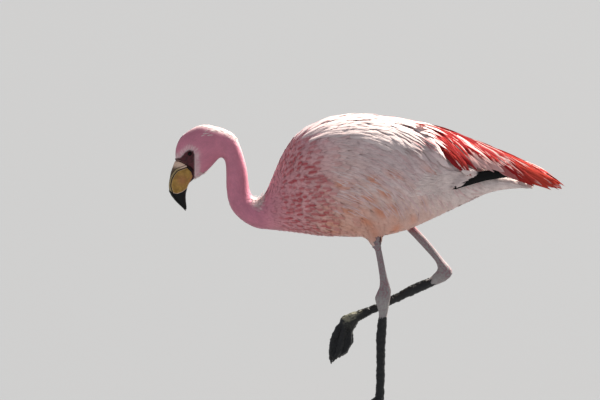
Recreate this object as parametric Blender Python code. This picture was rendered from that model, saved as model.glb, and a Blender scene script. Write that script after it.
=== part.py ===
"""A James's flamingo at life size: wading pose, left leg on the ground, right leg drawn up behind it.

The bird faces -X, its left side is towards -Y and +Z is up. The origin is on the ground, in the middle of
the heel pad of the left foot. Tables are in millimetres and MM turns them into metres.

The trunk, neck, head and legs are lofts through sections. A section is a row
    (near edge x, near edge z, far edge x, far edge z, half width, middle y)
that says where the piece's two edges lie in side view and how wide it is there. The feathered sides (wings,
tertials and primaries) are slabs of even thickness that follow a surface. The whole is parted by thin cuts.
"""

import math

import bmesh
import bpy
import numpy as np

MM = 0.001
GAP = 0.4  # mm of air between two pieces that touch in life
EDGE_GAP = 3  # how much wider the gap is along a slab's edges than under it
CLEAR = 4  # mm that a cutter reaches out beyond the piece it clears room for
CLEAR_TERTIALS = 14
CUTTER_HALF = 60  # half depth of a cutter that goes right through
PAST_END = 0.001  # rows by which a cutter's loft ends after its piece does
EARLY = 0.05  # rows by which a cutter's loft starts before its piece does, for each mm that it is grown
NECK_SIDES = 20
TRUNK_SIDES = 28
TAIL_SIDES = 16
BILL_SIDES = 16
LEG_SIDES = 10
TRUNK_RINGS = 1.2  # rings of a loft for each row of its table
BILL_RINGS = 1.5
RINGS = 2

# --- Body sections, from the bill base over the crown and down the neck, then breast, belly and tail ---
# The near edge is the crown, nape and back; the far edge is the throat, neck front, breast and belly.
BODY = [
    (-351, 431, -327, 394, 12.5),
    (-350, 453, -309, 404, 17),
    (-343, 471, -294, 415, 20),
    (-330, 482.5, -282, 428, 21),
    (-307, 494.5, -274, 437.5, 20.5),
    (-282, 491.5, -269, 439, 18.5),  # nape
    (-259, 484, -265.5, 434, 17),
    (-244, 471, -263.5, 425, 16.5),
    (-228, 424, -263, 406, 16),
    (-224.5, 395, -263, 392, 16),
    (-222, 379.5, -262, 374, 17),
    (-218, 371, -257.5, 356, 18.5),
    (-210.5, 365.5, -247, 339, 21.5),
    (-203, 366, -228, 323.5, 26),  # foot of the neck
    (-194.5, 379, -204, 313.5, 33),
    (-183, 405, -174, 311.5, 45),
    (-160, 457, -139, 307.5, 62),
    (-136, 484, -115, 303.5, 70),
    (-101, 503, -88, 301.5, 76),
    (-58, 512, -50, 300, 78.5),
    (-15, 512.5, -12, 299.5, 78),
    (27.5, 507, 27.5, 305, 73.5),
    (70, 495, 67, 319, 65),
    (112, 472, 105, 337, 53.5),
    (150, 441, 143, 355, 41),
    (190, 417, 181, 374, 30),  # root of the tail
    (226, 405, 219, 383, 24),
    (265, 394, 265, 385.5, 17),
]
HEAD_END, NECK_UPPER_END, NECK_MIDDLE_END, NECK_LOWER_END, TRUNK_END = 5, 8, 11, 14, 25

# --- Bill sections: the near edge is the culmen, the far edge the underside of the lower mandible ---
BILL = [
    (-347, 444, -308, 404, 13),
    (-352, 430, -319, 398, 12.5),
    (-358.5, 412, -326, 393.5, 11.5),
    (-362, 393, -329.5, 384.5, 10.5),
    (-361.5, 379, -332, 376, 9.2),
    (-355, 367.5, -332.5, 365.5, 7.5),
    (-346, 358, -331.5, 357, 5.5),
    (-337, 349.5, -331, 350, 3),
    (-333.5, 345.5, -331.5, 346, 1.2),
]
# Side-view lines, as (x, z): where horn meets skin, skin meets feathers, the gape and the edge of the black.
BILL_BASE = [(-366, 434), (-352, 432.5), (-341, 432), (-333.5, 428), (-325, 424), (-320, 419), (-319.5, 406),
             (-324, 397), (-330, 386)]
FACE_EDGE = [(-366, 437), (-352, 436), (-341, 439), (-332, 449), (-326, 452.5), (-318.5, 451), (-316.5, 440),
             (-317, 400), (-322, 386)]
GAPE = [(-310, 427), (-326, 423), (-337, 419), (-346, 415.5), (-352, 408), (-356, 400), (-358, 389),
        (-354, 374.5), (-345, 362), (-333.5, 349), (-328, 343)]
BILL_CORNERS = [(-345, 370), (-375, 370), (-375, 434)]  # these close BILL_BASE round the bill
HEAD_CORNERS = [(-300, 380), (-290, 450), (-366, 450)]  # and these round the head
BLACK_EDGE = [(-370, 384), (-360, 381), (-354, 377), (-347, 375.5), (-338, 379), (-331, 384), (-322, 390)]

EYE_AT = (-324.5, 446)  # mm, side view
EYE_RADIUS = 4.6
EYE_PROUD = 1.4  # mm that the eye stands out of the lids
HEAD_HALF_WIDTH = ((-350, -330, -300), (13, 18.5, 20.5))  # at these x, level with the eye

# --- Legs: the near edge is the shin and the far edge the heel side of the left leg ---------------
LEFT_LEG = [
    (-42, 345, 20, 345, 19, -33),
    (-31, 312, 10, 312, 16, -29),
    (-18, 294, 5, 294, 10, -25.5),
    (-11.5, 284.5, 3.8, 284, 7.2, -24),
    (-7, 277.5, 5.2, 277, 5.6, -22.5),
    (-1, 243, 12, 243, 5.8, -19),
    (0.8, 226, 16.3, 226, 6.6, -17),
    (-0.5, 212, 20, 212, 8, -15.5),
    (-6.3, 198, 19.5, 198, 9, -14.5),
    (-5.5, 189, 18, 189, 8.8, -13.5),
    (-0.9, 174, 15.5, 174, 6.6, -12),
    (0, 160, 12.9, 160, 5.4, -11),
    (-4, 125, 10.3, 125, 5.2, -8.5),
    (-3, 80, 9.3, 80, 4.8, -5.5),
    (-4, 35, 8.2, 35, 5, -2.5),
    (-7, 12, 8, 12, 7, -0.8),
]
LEFT_THIGH_END, LEFT_SHANK_END = 3, 7
# The right leg is drawn up: the near edge is its heel side, round the bent ankle, and the far edge its shin.
RIGHT_LEG = [
    (52, 370, 8, 326, 19, 33),
    (55.5, 346.5, 24.5, 315.5, 16, 31),
    (58, 328, 41, 311.5, 10, 29.5),
    (60, 317.5, 49.5, 308, 7, 28.5),
    (80, 296.5, 70.5, 286, 5.6, 27.5),
    (98, 275, 88, 267, 5.8, 27),
    (112.5, 256.5, 98, 255, 7.4, 26.5),
    (122, 246, 102, 244.5, 8.6, 26),
    (127, 234, 99.8, 237.5, 9, 26),
    (115, 221, 94.6, 232.3, 8.2, 25.5),
    (89.4, 210.7, 84.3, 223.7, 6.6, 25),
    (59.5, 197.4, 53.3, 211.6, 6, 24),
    (41, 189.6, 36, 201.2, 5.6, 23.5),
    (0.2, 170.8, -3.4, 180.5, 5.2, 21.5),
    (-28.4, 156.4, -32.7, 170.1, 5.8, 20.5),
    (-43.7, 145.2, -49.9, 164.9, 7.5, 20),
]
RIGHT_THIGH_END, RIGHT_SHANK_END = 3, 6

# --- Feet: three webbed toes and no hind toe ------------------------------------------------------
TOES = [("outer", 70, 34), ("middle", 79, 0), ("inner", 62, -34)]  # length with claw, spread in degrees
CLAW_LENGTH = 8
CLAW_RADIUS = 2.3
CLAW_TAPER = ((0.0, 1.0), (0.5, 0.8), (1.0, 0.25))  # share of the length, share of the radius
TOE_ROOT_RADIUS = 5.6
TOE_TIP_RADIUS = 3.3
TOE_JOINTS = ((0.0, 1.0), (0.28, 0.92), (0.33, 1.06), (0.62, 0.92), (0.67, 1.04), (0.97, 1.0), (1.0, 0.8))
TOE_SUNK = 0.86  # height of a toe's middle over its radius, which leaves it a narrow flat to stand on
WEB_TOP = 3.0
WEB_BOTTOM = 0.9
WEB_NOTCH = 0.8  # how far out the web's free edge lies between two toes, as a share of their mean length
WEB_SHARES = (0.04, 0.25, 0.5, 0.75, 0.96)  # points of the free edge, from one toe to the next
WEB_ROOT = [(2.0, 5.0), (2.0, -5.0)]
KNUCKLE = (9.5, 8.5, 8)  # half sizes of the pad under the toe joint
KNUCKLE_AT = (-1, 0, 6)
ANKLE_Z = 12  # where the tarsus ends on the standing foot
LID = [(-20, ANKLE_Z - GAP), (20, ANKLE_Z - GAP), (20, 30), (-20, 30)]
GROUND = [(-120, -30), (60, -30), (60, 0), (-120, 0)]
GROUND_HALF = 90
# The drawn-up foot hangs closed: each toe's joints in side view, and its y.
HANGING_TOES = [
    ("outer", 27.5, [(-55, 148), (-50, 133), (-49.5, 115), (-58, 99), (-70, 90)]),
    ("middle", 20, [(-58, 150), (-70, 138), (-79, 119), (-81.5, 99), (-82, 85)]),
    ("inner", 12.5, [(-57, 148), (-62, 132), (-66, 114), (-70, 99), (-76, 88)]),
]
HANGING_Y = 20
HANGING_PINCH = 0.6  # how near to the middle toe the others start, as a share of how far they spread
HANGING_RADII = (TOE_ROOT_RADIUS, 5.2, 5.0, 4.4, TOE_TIP_RADIUS)
HANGING_WEB = [(-52, 150), (-64, 152), (-76, 132), (-83, 110), (-83, 90), (-72, 89), (-57, 98), (-48, 114),
               (-48, 134)]
HANGING_WEB_HALF = 4.5
HANGING_KNUCKLE = (10, 8.5, 10)
HANGING_KNUCKLE_AT = (-57, HANGING_Y, 151)

# --- Folded wing, on the body's own surface: BODY rows, and angles down from the ridge of the back ---
WING_ROWS = (16.6, 24.1)
WING_MIDDLE = (72, 60)  # degrees at the shoulder and at the wrist end
WING_SPREAD = 41  # degrees above and below the middle at its deepest
WING_BLUNT = 9  # degrees left at either end
WING_SWELL = 0.6  # how fast it deepens from its ends: lower is blunter
WING_DEPTH = 6
WING_PROUD = 2
WING_CELLS = (12, 6)  # faces along and across

# --- Tertials and primaries: sheets between an upper and a lower edge, rows of (x, y, z, x, y, z) ---
TERTIALS = [
    (66, 2.6, 499, 92, 58, 452),
    (113, 2.6, 484, 128, 56, 424),
    (156, 2.6, 466, 166, 50, 408),
    (208, 2.8, 447, 208, 40, 406),
    (260, 3, 426, 252, 29, 394),
    (294, 3, 407.5, 288, 19, 386),
    (316.5, 3, 389, 317.5, 10, 382),
]
TERTIAL_THICK = 5
TERTIAL_BULGE = 0.08  # how far a sheet arches outwards, as a share of its depth there
TERTIAL_CELLS = (12, 4)
PRIMARIES = [
    (132, 49, 402, 128, 51, 385),
    (172, 38.5, 418, 160, 43, 393),
    (206, 31, 417, 195, 34, 399),
    (243, 24, 413, 240, 24.5, 408.5),
]
PRIMARY_THICK = 2.6
PRIMARY_BULGE = 0.05
PRIMARY_CELLS = (6, 3)


def wipe_scene():
    for item in list(bpy.data.objects):
        bpy.data.objects.remove(item, do_unlink=True)


def smooth_rows(rows, at):
    """Rows read at fractional positions, on a Catmull-Rom curve that goes on straight past both ends."""
    rows = np.asarray(rows, dtype=float)
    ends = [2 * rows[0] - rows[1], *rows, 2 * rows[-1] - rows[-2]]
    found = []
    for position in np.atleast_1d(at):
        span = int(min(max(math.floor(position), 0), len(rows) - 2))
        t = position - span
        a, b, c, d = ends[span : span + 4]
        square = a - 2.5 * b + 2 * c - d / 2
        cube = (3 * b - 3 * c + d - a) / 2
        found.append(b + t * (c - a) / 2 + t * t * square + t**3 * cube)
    return np.array(found)


def section_point(row, angle, grow=0.0):
    """A point on a section's oval, in mm: angle 0 is its near edge and angle pi its far edge."""
    near, far = np.array([row[0], row[1]]), np.array([row[2], row[3]])
    middle, half = (near + far) / 2, (near - far) / 2
    reach = np.linalg.norm(half)
    x, z = middle + half * (1 + grow / reach) * math.cos(angle)
    side_y = row[5] if len(row) > 5 else 0.0
    return np.array([x, side_y + (row[4] + grow) * math.sin(angle), z])


def solid_from(name, points, faces):
    """A closed mesh object from points in mm, with its faces turned outwards."""
    mesh = bpy.data.meshes.new(name)
    mesh.from_pydata([tuple(p * MM for p in point) for point in points], [], faces)
    work = bmesh.new()
    work.from_mesh(mesh)
    bmesh.ops.recalc_face_normals(work, faces=work.faces)
    work.to_mesh(mesh)
    work.free()
    return bpy.data.objects.new(name, mesh)


def loft(name, rows, first, last, per_row, sides, grow=0.0):
    """A closed loft over rows first to last; its start is moved in by the gap if another piece ends there."""
    steps = max(2, round((last - first) * per_row))
    places = np.linspace(first, last, steps + 1)
    if grow and first == 0:
        places[0] -= grow * EARLY
    sections = smooth_rows(rows, places)
    rings = []
    for row in sections:
        rings.append([section_point(row, 2 * math.pi * k / sides, grow) for k in range(sides)])
    if first > 0:
        along = np.mean(rings[1], axis=0) - np.mean(rings[0], axis=0)
        near, far = rings[0][0], rings[0][sides // 2]
        normal = np.cross(near - far, [0.0, 1.0, 0.0])
        normal *= math.copysign(GAP / np.linalg.norm(normal), np.dot(normal, along))
        rings[0] = [point + normal for point in rings[0]]
    points = [point for ring in rings for point in ring]
    faces = [tuple(range(sides)), tuple(range(steps * sides, (steps + 1) * sides))]
    for ring in range(steps):
        for k in range(sides):
            a, b = ring * sides + k, ring * sides + (k + 1) % sides
            faces += [(a, b, b + sides), (a, b + sides, a + sides)]
    return solid_from(name, points, faces)


def slab(name, surface, across, down, low, high, grow=0.0):
    """A closed slab over surface(u, v), from low to high mm along its outward normal; grow widens it."""

    def steps(count, start, end):
        inner = list(np.linspace(0, 1, count + 1))
        share = EDGE_GAP * grow / np.linalg.norm(end - start)
        return [-share, *inner, 1 + share] if grow else inner

    us = steps(across, surface(0, 0.5), surface(1, 0.5))
    small = 1e-3
    layers = []
    for height in (low, high):
        for u in us:
            for v in steps(down, surface(u, 0), surface(u, 1)):
                here = surface(u, v)
                normal = np.cross(surface(u + small, v) - here, surface(u, v + small) - here)
                normal *= math.copysign(1 / np.linalg.norm(normal), normal[1] * here[1])
                layers.append(here + normal * height)
    if grow:
        across, down = across + 2, down + 2
    wide, deep = across + 1, down + 1
    top = wide * deep
    faces = []
    for i in range(across):
        for j in range(down):
            a = i * deep + j
            for half in ((a, a + deep, a + deep + 1), (a, a + deep + 1, a + 1)):
                faces.append(half)
                faces.append(tuple(top + index for index in half))
    rim = [j for j in range(deep)] + [i * deep + down for i in range(1, wide)]
    rim += [across * deep + j for j in range(down - 1, -1, -1)] + [i * deep for i in range(across - 1, 0, -1)]
    for a, b in zip(rim, rim[1:] + rim[:1]):
        faces.append((a, b, top + b, top + a))
    return solid_from(name, layers, faces)


def prism(name, outline, half_depth, middle_y=0.0):
    """A side-view outline, as (x, z) points, drawn out to both sides of middle_y."""
    count = len(outline)
    points = [(x, middle_y + y, z) for y in (-half_depth, half_depth) for x, z in outline]
    faces = [tuple(range(count)), tuple(range(count, 2 * count))]
    faces += [(k, (k + 1) % count, (k + 1) % count + count, k + count) for k in range(count)]
    return solid_from(name, points, faces)


def beside(line, distance):
    """A side-view line moved sideways by distance, to the left of the way it runs."""
    line = np.array(line, dtype=float)
    run = np.gradient(line, axis=0)
    side = np.stack([-run[:, 1], run[:, 0]], axis=1) / np.linalg.norm(run, axis=1)[:, None]
    return [tuple(point) for point in line + side * distance]


def saw(name, line):
    """A blade as thick as the gap along a side-view line, to part a piece in two."""
    return prism(name, beside(line, GAP / 2) + beside(line, -GAP / 2)[::-1], CUTTER_HALF)


def tube(name, path, radii):
    """A round tube through path, as wide as radii says, made as a curve and kept as a mesh."""
    curve = bpy.data.curves.new(name, "CURVE")
    curve.dimensions = "3D"
    curve.bevel_depth = MM
    curve.bevel_resolution = 2
    curve.use_fill_caps = True
    spline = curve.splines.new("POLY")
    spline.points.add(len(path) - 1)
    for point, place, radius in zip(spline.points, path, radii):
        point.co = (*(c * MM for c in place), 1.0)
        point.radius = radius
    holder = bpy.data.objects.new(name, curve)
    bpy.context.scene.collection.objects.link(holder)
    bpy.context.view_layer.update()
    mesh = bpy.data.meshes.new_from_object(holder.evaluated_get(bpy.context.evaluated_depsgraph_get()))
    bpy.data.objects.remove(holder, do_unlink=True)
    work = bmesh.new()
    work.from_mesh(mesh)
    bmesh.ops.remove_doubles(work, verts=work.verts, dist=1e-6)
    bmesh.ops.recalc_face_normals(work, faces=work.faces)
    work.to_mesh(mesh)
    work.free()
    return bpy.data.objects.new(name, mesh)


def ball(name, centre, radii, across=12, up=8):
    work = bmesh.new()
    bmesh.ops.create_uvsphere(work, u_segments=across, v_segments=up, radius=MM)
    bmesh.ops.scale(work, vec=radii, verts=work.verts)
    bmesh.ops.translate(work, vec=[c * MM for c in centre], verts=work.verts)
    mesh = bpy.data.meshes.new(name)
    work.to_mesh(mesh)
    work.free()
    return bpy.data.objects.new(name, mesh)


def joined(target, others, operation):
    """target after a Boolean with each of the others, which are used up."""
    scene = bpy.context.scene.collection
    scene.objects.link(target)
    for other in others:
        scene.objects.link(other)
        step = target.modifiers.new(operation.lower(), "BOOLEAN")
        step.operation = operation
        step.solver = "EXACT"
        step.object = other
    bpy.context.view_layer.update()
    mesh = bpy.data.meshes.new_from_object(target.evaluated_get(bpy.context.evaluated_depsgraph_get()))
    for used in (target, *others):
        bpy.data.objects.remove(used, do_unlink=True)
    return bpy.data.objects.new(operation.lower(), mesh)


def cut(target, *cutters):
    return joined(target, cutters, "DIFFERENCE")


def united(target, *others):
    return joined(target, others, "UNION")


def islands(source, wanted=1):
    """The largest bodies of a parted object, each as its own object, and nothing else of it."""
    work = bmesh.new()
    work.from_mesh(source.data)
    left = set(work.faces)
    bodies = []
    while left:
        stack = [left.pop()]
        body = set(stack)
        while stack:
            for edge in stack.pop().edges:
                fresh = [face for face in edge.link_faces if face in left]
                left.difference_update(fresh)
                body.update(fresh)
                stack.extend(fresh)
        bodies.append(body)
    found = []
    for body in sorted(bodies, key=len, reverse=True)[:wanted]:
        verts = sorted({vert for face in body for vert in face.verts}, key=lambda vert: vert.index)
        place = {vert: k for k, vert in enumerate(verts)}
        mesh = bpy.data.meshes.new(source.name)
        faces = sorted(body, key=lambda face: face.index)
        corners = [[place[vert] for vert in face.verts] for face in faces]
        mesh.from_pydata([vert.co[:] for vert in verts], [], corners)
        found.append(bpy.data.objects.new(source.name, mesh))
    work.free()
    bpy.data.objects.remove(source, do_unlink=True)
    return found


def middle_of(piece, axis):
    return np.mean([vert.co[axis] for vert in piece.data.vertices])


def finish_material(name, colour, roughness):
    made = bpy.data.materials.new(name)
    made.use_nodes = True
    shader = made.node_tree.nodes["Principled BSDF"]
    shader.inputs["Base Color"].default_value = (*colour, 1.0)
    shader.inputs["Roughness"].default_value = roughness
    shader.inputs["Metallic"].default_value = 0.0
    return made


FINISHES = {
    "pink_feather": ((0.78, 0.36, 0.36), 0.75),
    "pale_feather": ((0.82, 0.62, 0.60), 0.75),
    "red_feather": ((0.55, 0.03, 0.03), 0.65),
    "black_feather": ((0.01, 0.01, 0.012), 0.5),
    "face_skin": ((0.10, 0.012, 0.018), 0.5),
    "yellow_horn": ((0.48, 0.27, 0.06), 0.35),
    "black_horn": ((0.012, 0.011, 0.010), 0.3),
    "eye": ((0.02, 0.010, 0.008), 0.05),
    "leg_skin": ((0.20, 0.11, 0.11), 0.6),
    "claw": ((0.03, 0.025, 0.022), 0.4),
}


def keep(piece, name, finish, collection):
    """Names a finished piece, gives it its own material and puts it in the bird's collection."""
    piece.name = name
    piece.data.name = name
    piece.data.materials.clear()
    piece.data.materials.append(finish_material(name, *FINISHES[finish]))
    piece.data.shade_smooth()
    piece.data.set_sharp_from_angle(angle=math.radians(40))
    collection.objects.link(piece)


def body_surface(position, angle, side):
    row = smooth_rows(BODY, position)[0]
    return section_point(row, side * angle)


def wing_surface(side):
    def surface(u, v):
        row = WING_ROWS[0] + u * (WING_ROWS[1] - WING_ROWS[0])
        middle = WING_MIDDLE[0] + u * (WING_MIDDLE[1] - WING_MIDDLE[0])
        swell = math.sin(math.pi * min(max(u, 0.0), 1.0)) ** WING_SWELL
        spread = WING_BLUNT + (WING_SPREAD - WING_BLUNT) * swell
        return body_surface(row, math.radians(middle + spread * (2 * v - 1)), side)

    return surface


def sheet_surface(rows, side, bulge):
    """A sheet between an upper and a lower edge, arched outwards by bulge times its depth."""

    def surface(u, v):
        row = smooth_rows(rows, u * (len(rows) - 1))[0]
        here = row[:3] + v * (row[3:] - row[:3])
        arch = bulge * np.linalg.norm(row[3:] - row[:3]) * math.sin(math.pi * v)
        here[1] += arch
        here[2] += arch
        return here * (1.0, side, 1.0)

    return surface


def make_tertials(side, grow=0.0, outwards=0.0):
    """One side's long red feathers; with grow and outwards, a cutter that clears room for them."""
    half = TERTIAL_THICK / 2 + grow
    surface = sheet_surface(TERTIALS, side, TERTIAL_BULGE)
    return slab("tertials", surface, *TERTIAL_CELLS, -half, half + outwards, grow)


def make_wing(side, grow=0.0, outwards=0.0):
    low, high = -WING_DEPTH - grow, WING_PROUD + grow + outwards
    return slab("wing", wing_surface(side), *WING_CELLS, low, high, grow)


def make_primaries(side, grow=0.0, outwards=0.0):
    half = PRIMARY_THICK / 2 + grow
    surface = sheet_surface(PRIMARIES, side, PRIMARY_BULGE)
    return slab("primaries", surface, *PRIMARY_CELLS, -half, half + outwards, grow)


def make_wings(collection):
    """Each layer of a folded wing clears those that lie over it: tertials, then wing, then primaries."""
    for side, word in ((-1, "left"), (1, "right")):
        clear_tertials = make_tertials(side, GAP, CLEAR_TERTIALS)
        wing = islands(cut(make_wing(side), clear_tertials))[0]
        clear = make_tertials(side, GAP, CLEAR_TERTIALS), make_wing(side, GAP, CLEAR)
        primaries = islands(cut(make_primaries(side), *clear))[0]
        keep(make_tertials(side), f"tertials_{word}", "red_feather", collection)
        keep(wing, f"wing_{word}", "pink_feather", collection)
        keep(primaries, f"primaries_{word}", "black_feather", collection)


def make_trunk(collection):
    """Trunk and tail, hollowed where the wings, their long feathers and the thighs lie."""
    trunk = loft("trunk", BODY, NECK_LOWER_END, TRUNK_END, TRUNK_RINGS, TRUNK_SIDES)
    tail = loft("tail", BODY, TRUNK_END, len(BODY) - 1, RINGS, TAIL_SIDES)
    clear = []
    for side in (-1, 1):
        clear += [make_tertials(side, GAP, CLEAR_TERTIALS), make_wing(side, GAP, CLEAR)]
    clear.append(loft("thigh", LEFT_LEG, 0, LEFT_THIGH_END, RINGS, LEG_SIDES, GAP))
    clear.append(loft("thigh", RIGHT_LEG, 0, RIGHT_THIGH_END, RINGS, LEG_SIDES, GAP))
    keep(islands(cut(trunk, *clear))[0], "trunk", "pink_feather", collection)
    keep(tail, "tail", "pale_feather", collection)


def make_neck(collection):
    spans = ((HEAD_END, NECK_UPPER_END, "upper"), (NECK_UPPER_END, NECK_MIDDLE_END, "middle"),
             (NECK_MIDDLE_END, NECK_LOWER_END, "lower"))
    for first, last, word in spans:
        neck = loft("neck", BODY, first, last, RINGS, NECK_SIDES)
        keep(neck, f"neck_{word}", "pink_feather", collection)


def eye_centre(side):
    """Centre of an eye: inside the head's surface by its radius, but for the part that stands proud."""
    width = np.interp(EYE_AT[0], *HEAD_HALF_WIDTH)
    return (EYE_AT[0], side * (width - EYE_RADIUS + EYE_PROUD), EYE_AT[1])


def make_head(collection):
    """Head and bare face, cut from one loft, and the two eyes in their sockets."""
    head = loft("head", BODY, 0, HEAD_END, RINGS, NECK_SIDES)
    front = prism("front", [*beside(BILL_BASE, GAP), *BILL_CORNERS], CUTTER_HALF)
    sockets = [ball("socket", eye_centre(side), [EYE_RADIUS + GAP] * 3) for side in (-1, 1)]
    head = cut(head, front, saw("edge", FACE_EDGE), *sockets)
    face, skull = sorted(islands(head, 2), key=lambda piece: middle_of(piece, 0))
    keep(skull, "head", "pink_feather", collection)
    keep(face, "face", "face_skin", collection)
    for side, word in ((-1, "left"), (1, "right")):
        keep(ball("eye", eye_centre(side), [EYE_RADIUS] * 3), f"eye_{word}", "eye", collection)


def make_bill(collection):
    """The bill is lofted whole, trimmed to the line of the horn, then parted at the gape and at the black."""
    bill = loft("bill", BILL, 0, len(BILL) - 1, BILL_RINGS, BILL_SIDES)
    behind = prism("behind", [*BILL_BASE, *HEAD_CORNERS], CUTTER_HALF)
    pieces = islands(cut(bill, behind, saw("gape", GAPE), saw("black", BLACK_EDGE)), 4)
    pieces.sort(key=lambda piece: middle_of(piece, 2))
    for pair, ending, finish in ((pieces[:2], "_tip", "black_horn"), (pieces[2:], "", "yellow_horn")):
        pair.sort(key=lambda piece: middle_of(piece, 0))
        for piece, word in zip(pair, ("upper_bill", "lower_bill")):
            keep(piece, word + ending, finish, collection)


def make_legs(collection):
    for word, rows, thigh_end, shank_end in (
        ("left", LEFT_LEG, LEFT_THIGH_END, LEFT_SHANK_END),
        ("right", RIGHT_LEG, RIGHT_THIGH_END, RIGHT_SHANK_END),
    ):
        spans = (
            ("thigh", 0, thigh_end, "pink_feather"),
            ("shank", thigh_end, shank_end, "leg_skin"),
            ("tarsus", shank_end, len(rows) - 1, "leg_skin"),
        )
        for part, first, last, finish in spans:
            keep(loft(part, rows, first, last, RINGS, LEG_SIDES), f"{part}_{word}", finish, collection)


def make_claw(name, tip_of_toe, way, collection):
    """A short claw that goes on from the toe's tip, drooping a little to a blunt point."""
    start = np.array(tip_of_toe) + np.array(way) * GAP
    path = [start + np.array(way) * share * (CLAW_LENGTH - GAP) for share, _ in CLAW_TAPER]
    radii = [CLAW_RADIUS * wide for _, wide in CLAW_TAPER]
    keep(tube("claw", path, radii), name, "claw", collection)


def make_standing_foot(collection):
    foot = ball("foot", KNUCKLE_AT, KNUCKLE)
    toes = []
    ends = []
    for word, length, spread in TOES:
        way = np.array([-math.cos(math.radians(spread)), -math.sin(math.radians(spread)), 0.0])
        path = []
        radii = []
        for share, swell in TOE_JOINTS:
            taper = TOE_ROOT_RADIUS + share * (TOE_TIP_RADIUS - TOE_ROOT_RADIUS)
            path.append(way * (length - CLAW_LENGTH) * share + (0, 0, taper * TOE_SUNK))
            radii.append(taper * swell)
        toes.append(tube("toe", path, radii))
        ends.append((word, way, path[-1]))
    edge = []
    for (_, length, spread), (_, after, next_spread) in zip(TOES, TOES[1:]):
        for share in WEB_SHARES:
            angle = math.radians(spread + share * (next_spread - spread))
            notch = 1 - (1 - WEB_NOTCH) * math.sin(math.pi * share) ** 0.7
            reach = (length + share * (after - length) - CLAW_LENGTH) * notch
            edge.append((-reach * math.cos(angle), -reach * math.sin(angle)))
    web = [*WEB_ROOT, *edge]
    points = [(x, y, z) for z in (WEB_BOTTOM, WEB_TOP) for x, y in web]
    count = len(web)
    faces = [tuple(range(count)), tuple(range(count, 2 * count))]
    faces += [(k, (k + 1) % count, (k + 1) % count + count, k + count) for k in range(count)]
    foot = united(foot, *toes, solid_from("web", points, faces))
    last = len(LEFT_LEG) - 1
    tarsus = loft("tarsus", LEFT_LEG, last - 1, last, RINGS, LEG_SIDES, GAP)
    foot = cut(foot, prism("ground", GROUND, GROUND_HALF), tarsus, prism("lid", LID, CUTTER_HALF))
    keep(foot, "foot_left", "leg_skin", collection)
    for word, way, end in ends:
        make_claw(f"claw_left_{word}", end, way, collection)


def make_hanging_foot(collection):
    foot = ball("foot", HANGING_KNUCKLE_AT, HANGING_KNUCKLE)
    toes = []
    ends = []
    for word, y, joints in HANGING_TOES:
        path = [np.array([x, y, z], dtype=float) for x, z in joints]
        path[0][1] = HANGING_Y + (y - HANGING_Y) * HANGING_PINCH
        toes.append(tube("toe", path, HANGING_RADII))
        way = path[-1] - path[-2]
        ends.append((word, way / np.linalg.norm(way), path[-1]))
    web = prism("web", HANGING_WEB, HANGING_WEB_HALF, HANGING_Y)
    foot = united(foot, *toes, web)
    last = len(RIGHT_LEG) - 1
    foot = cut(foot, loft("tarsus", RIGHT_LEG, last - 2, last + PAST_END, RINGS, LEG_SIDES, GAP))
    keep(foot, "foot_right", "leg_skin", collection)
    for word, way, end in ends:
        make_claw(f"claw_right_{word}", end, way, collection)


def main():
    wipe_scene()
    collection = bpy.data.collections.new("flamingo")
    bpy.context.scene.collection.children.link(collection)
    make_bill(collection)
    make_head(collection)
    make_neck(collection)
    make_trunk(collection)
    make_wings(collection)
    make_legs(collection)
    make_standing_foot(collection)
    make_hanging_foot(collection)


main()
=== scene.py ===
# %% [markdown]
# # A James's flamingo, feather by feather
#
# The frame holds a life-size James's flamingo in plain solids: it wades on its left leg with the right one
# drawn up and its bill held down. This script dresses it. One skin takes the place of all the flesh,
# thousands of small mesh feathers lie over it, the long wing feathers are laid one by one, and bill, eyes
# and claws are made as pieces of their own. Everything is worked out from the frame, so nothing has to be
# fitted afterwards.

# %% Load the frame
import math
from itertools import product

import bmesh
import bpy
import numpy as np
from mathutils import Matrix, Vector, noise
from mathutils.bvhtree import BVHTree
from mathutils.kdtree import KDTree


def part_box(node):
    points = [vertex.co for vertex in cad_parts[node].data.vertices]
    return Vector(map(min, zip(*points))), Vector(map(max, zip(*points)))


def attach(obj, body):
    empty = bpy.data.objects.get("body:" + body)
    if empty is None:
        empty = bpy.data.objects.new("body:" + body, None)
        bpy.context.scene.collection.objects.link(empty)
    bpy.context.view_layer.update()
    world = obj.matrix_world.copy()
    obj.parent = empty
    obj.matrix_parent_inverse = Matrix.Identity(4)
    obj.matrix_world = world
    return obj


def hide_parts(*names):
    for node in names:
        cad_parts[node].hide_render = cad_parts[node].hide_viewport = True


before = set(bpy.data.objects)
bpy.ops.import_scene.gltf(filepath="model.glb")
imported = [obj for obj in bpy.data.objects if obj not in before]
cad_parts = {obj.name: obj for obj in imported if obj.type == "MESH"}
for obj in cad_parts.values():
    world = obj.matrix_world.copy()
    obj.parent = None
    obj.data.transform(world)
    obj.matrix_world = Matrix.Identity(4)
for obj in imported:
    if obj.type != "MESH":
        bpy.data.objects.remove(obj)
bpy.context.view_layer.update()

MM = 0.001
dice = np.random.default_rng(11)

# %% [markdown]
# ## Small tools
#
# Blender wants linear colour, but a feather's colour is easiest to name as an sRGB hex value, so one
# function turns one into the other. A second adds any shader node with its settings and links. Keratin and
# skin bend light about as much as the shader's own IOR of 1.5 says, so that stays, and each finish sets how
# rough it is and how strongly it shines. The rest move meshes in and out of numpy, which builds thousands
# of feathers at once where they would otherwise be edited one by one.

# %% Colour, nodes and meshes
EASED = {"interpolation_type": "SMOOTHSTEP"}
TIMES = {"operation": "MULTIPLY"}
TIMES_PLUS = {"operation": "MULTIPLY_ADD"}
TIMES_CLAMPED = {"operation": "MULTIPLY", "use_clamp": True}
LARGER = {"operation": "MAXIMUM"}
COLOURS = {"data_type": "RGBA"}
TINTED = {"data_type": "RGBA", "blend_type": "MULTIPLY"}


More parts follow.
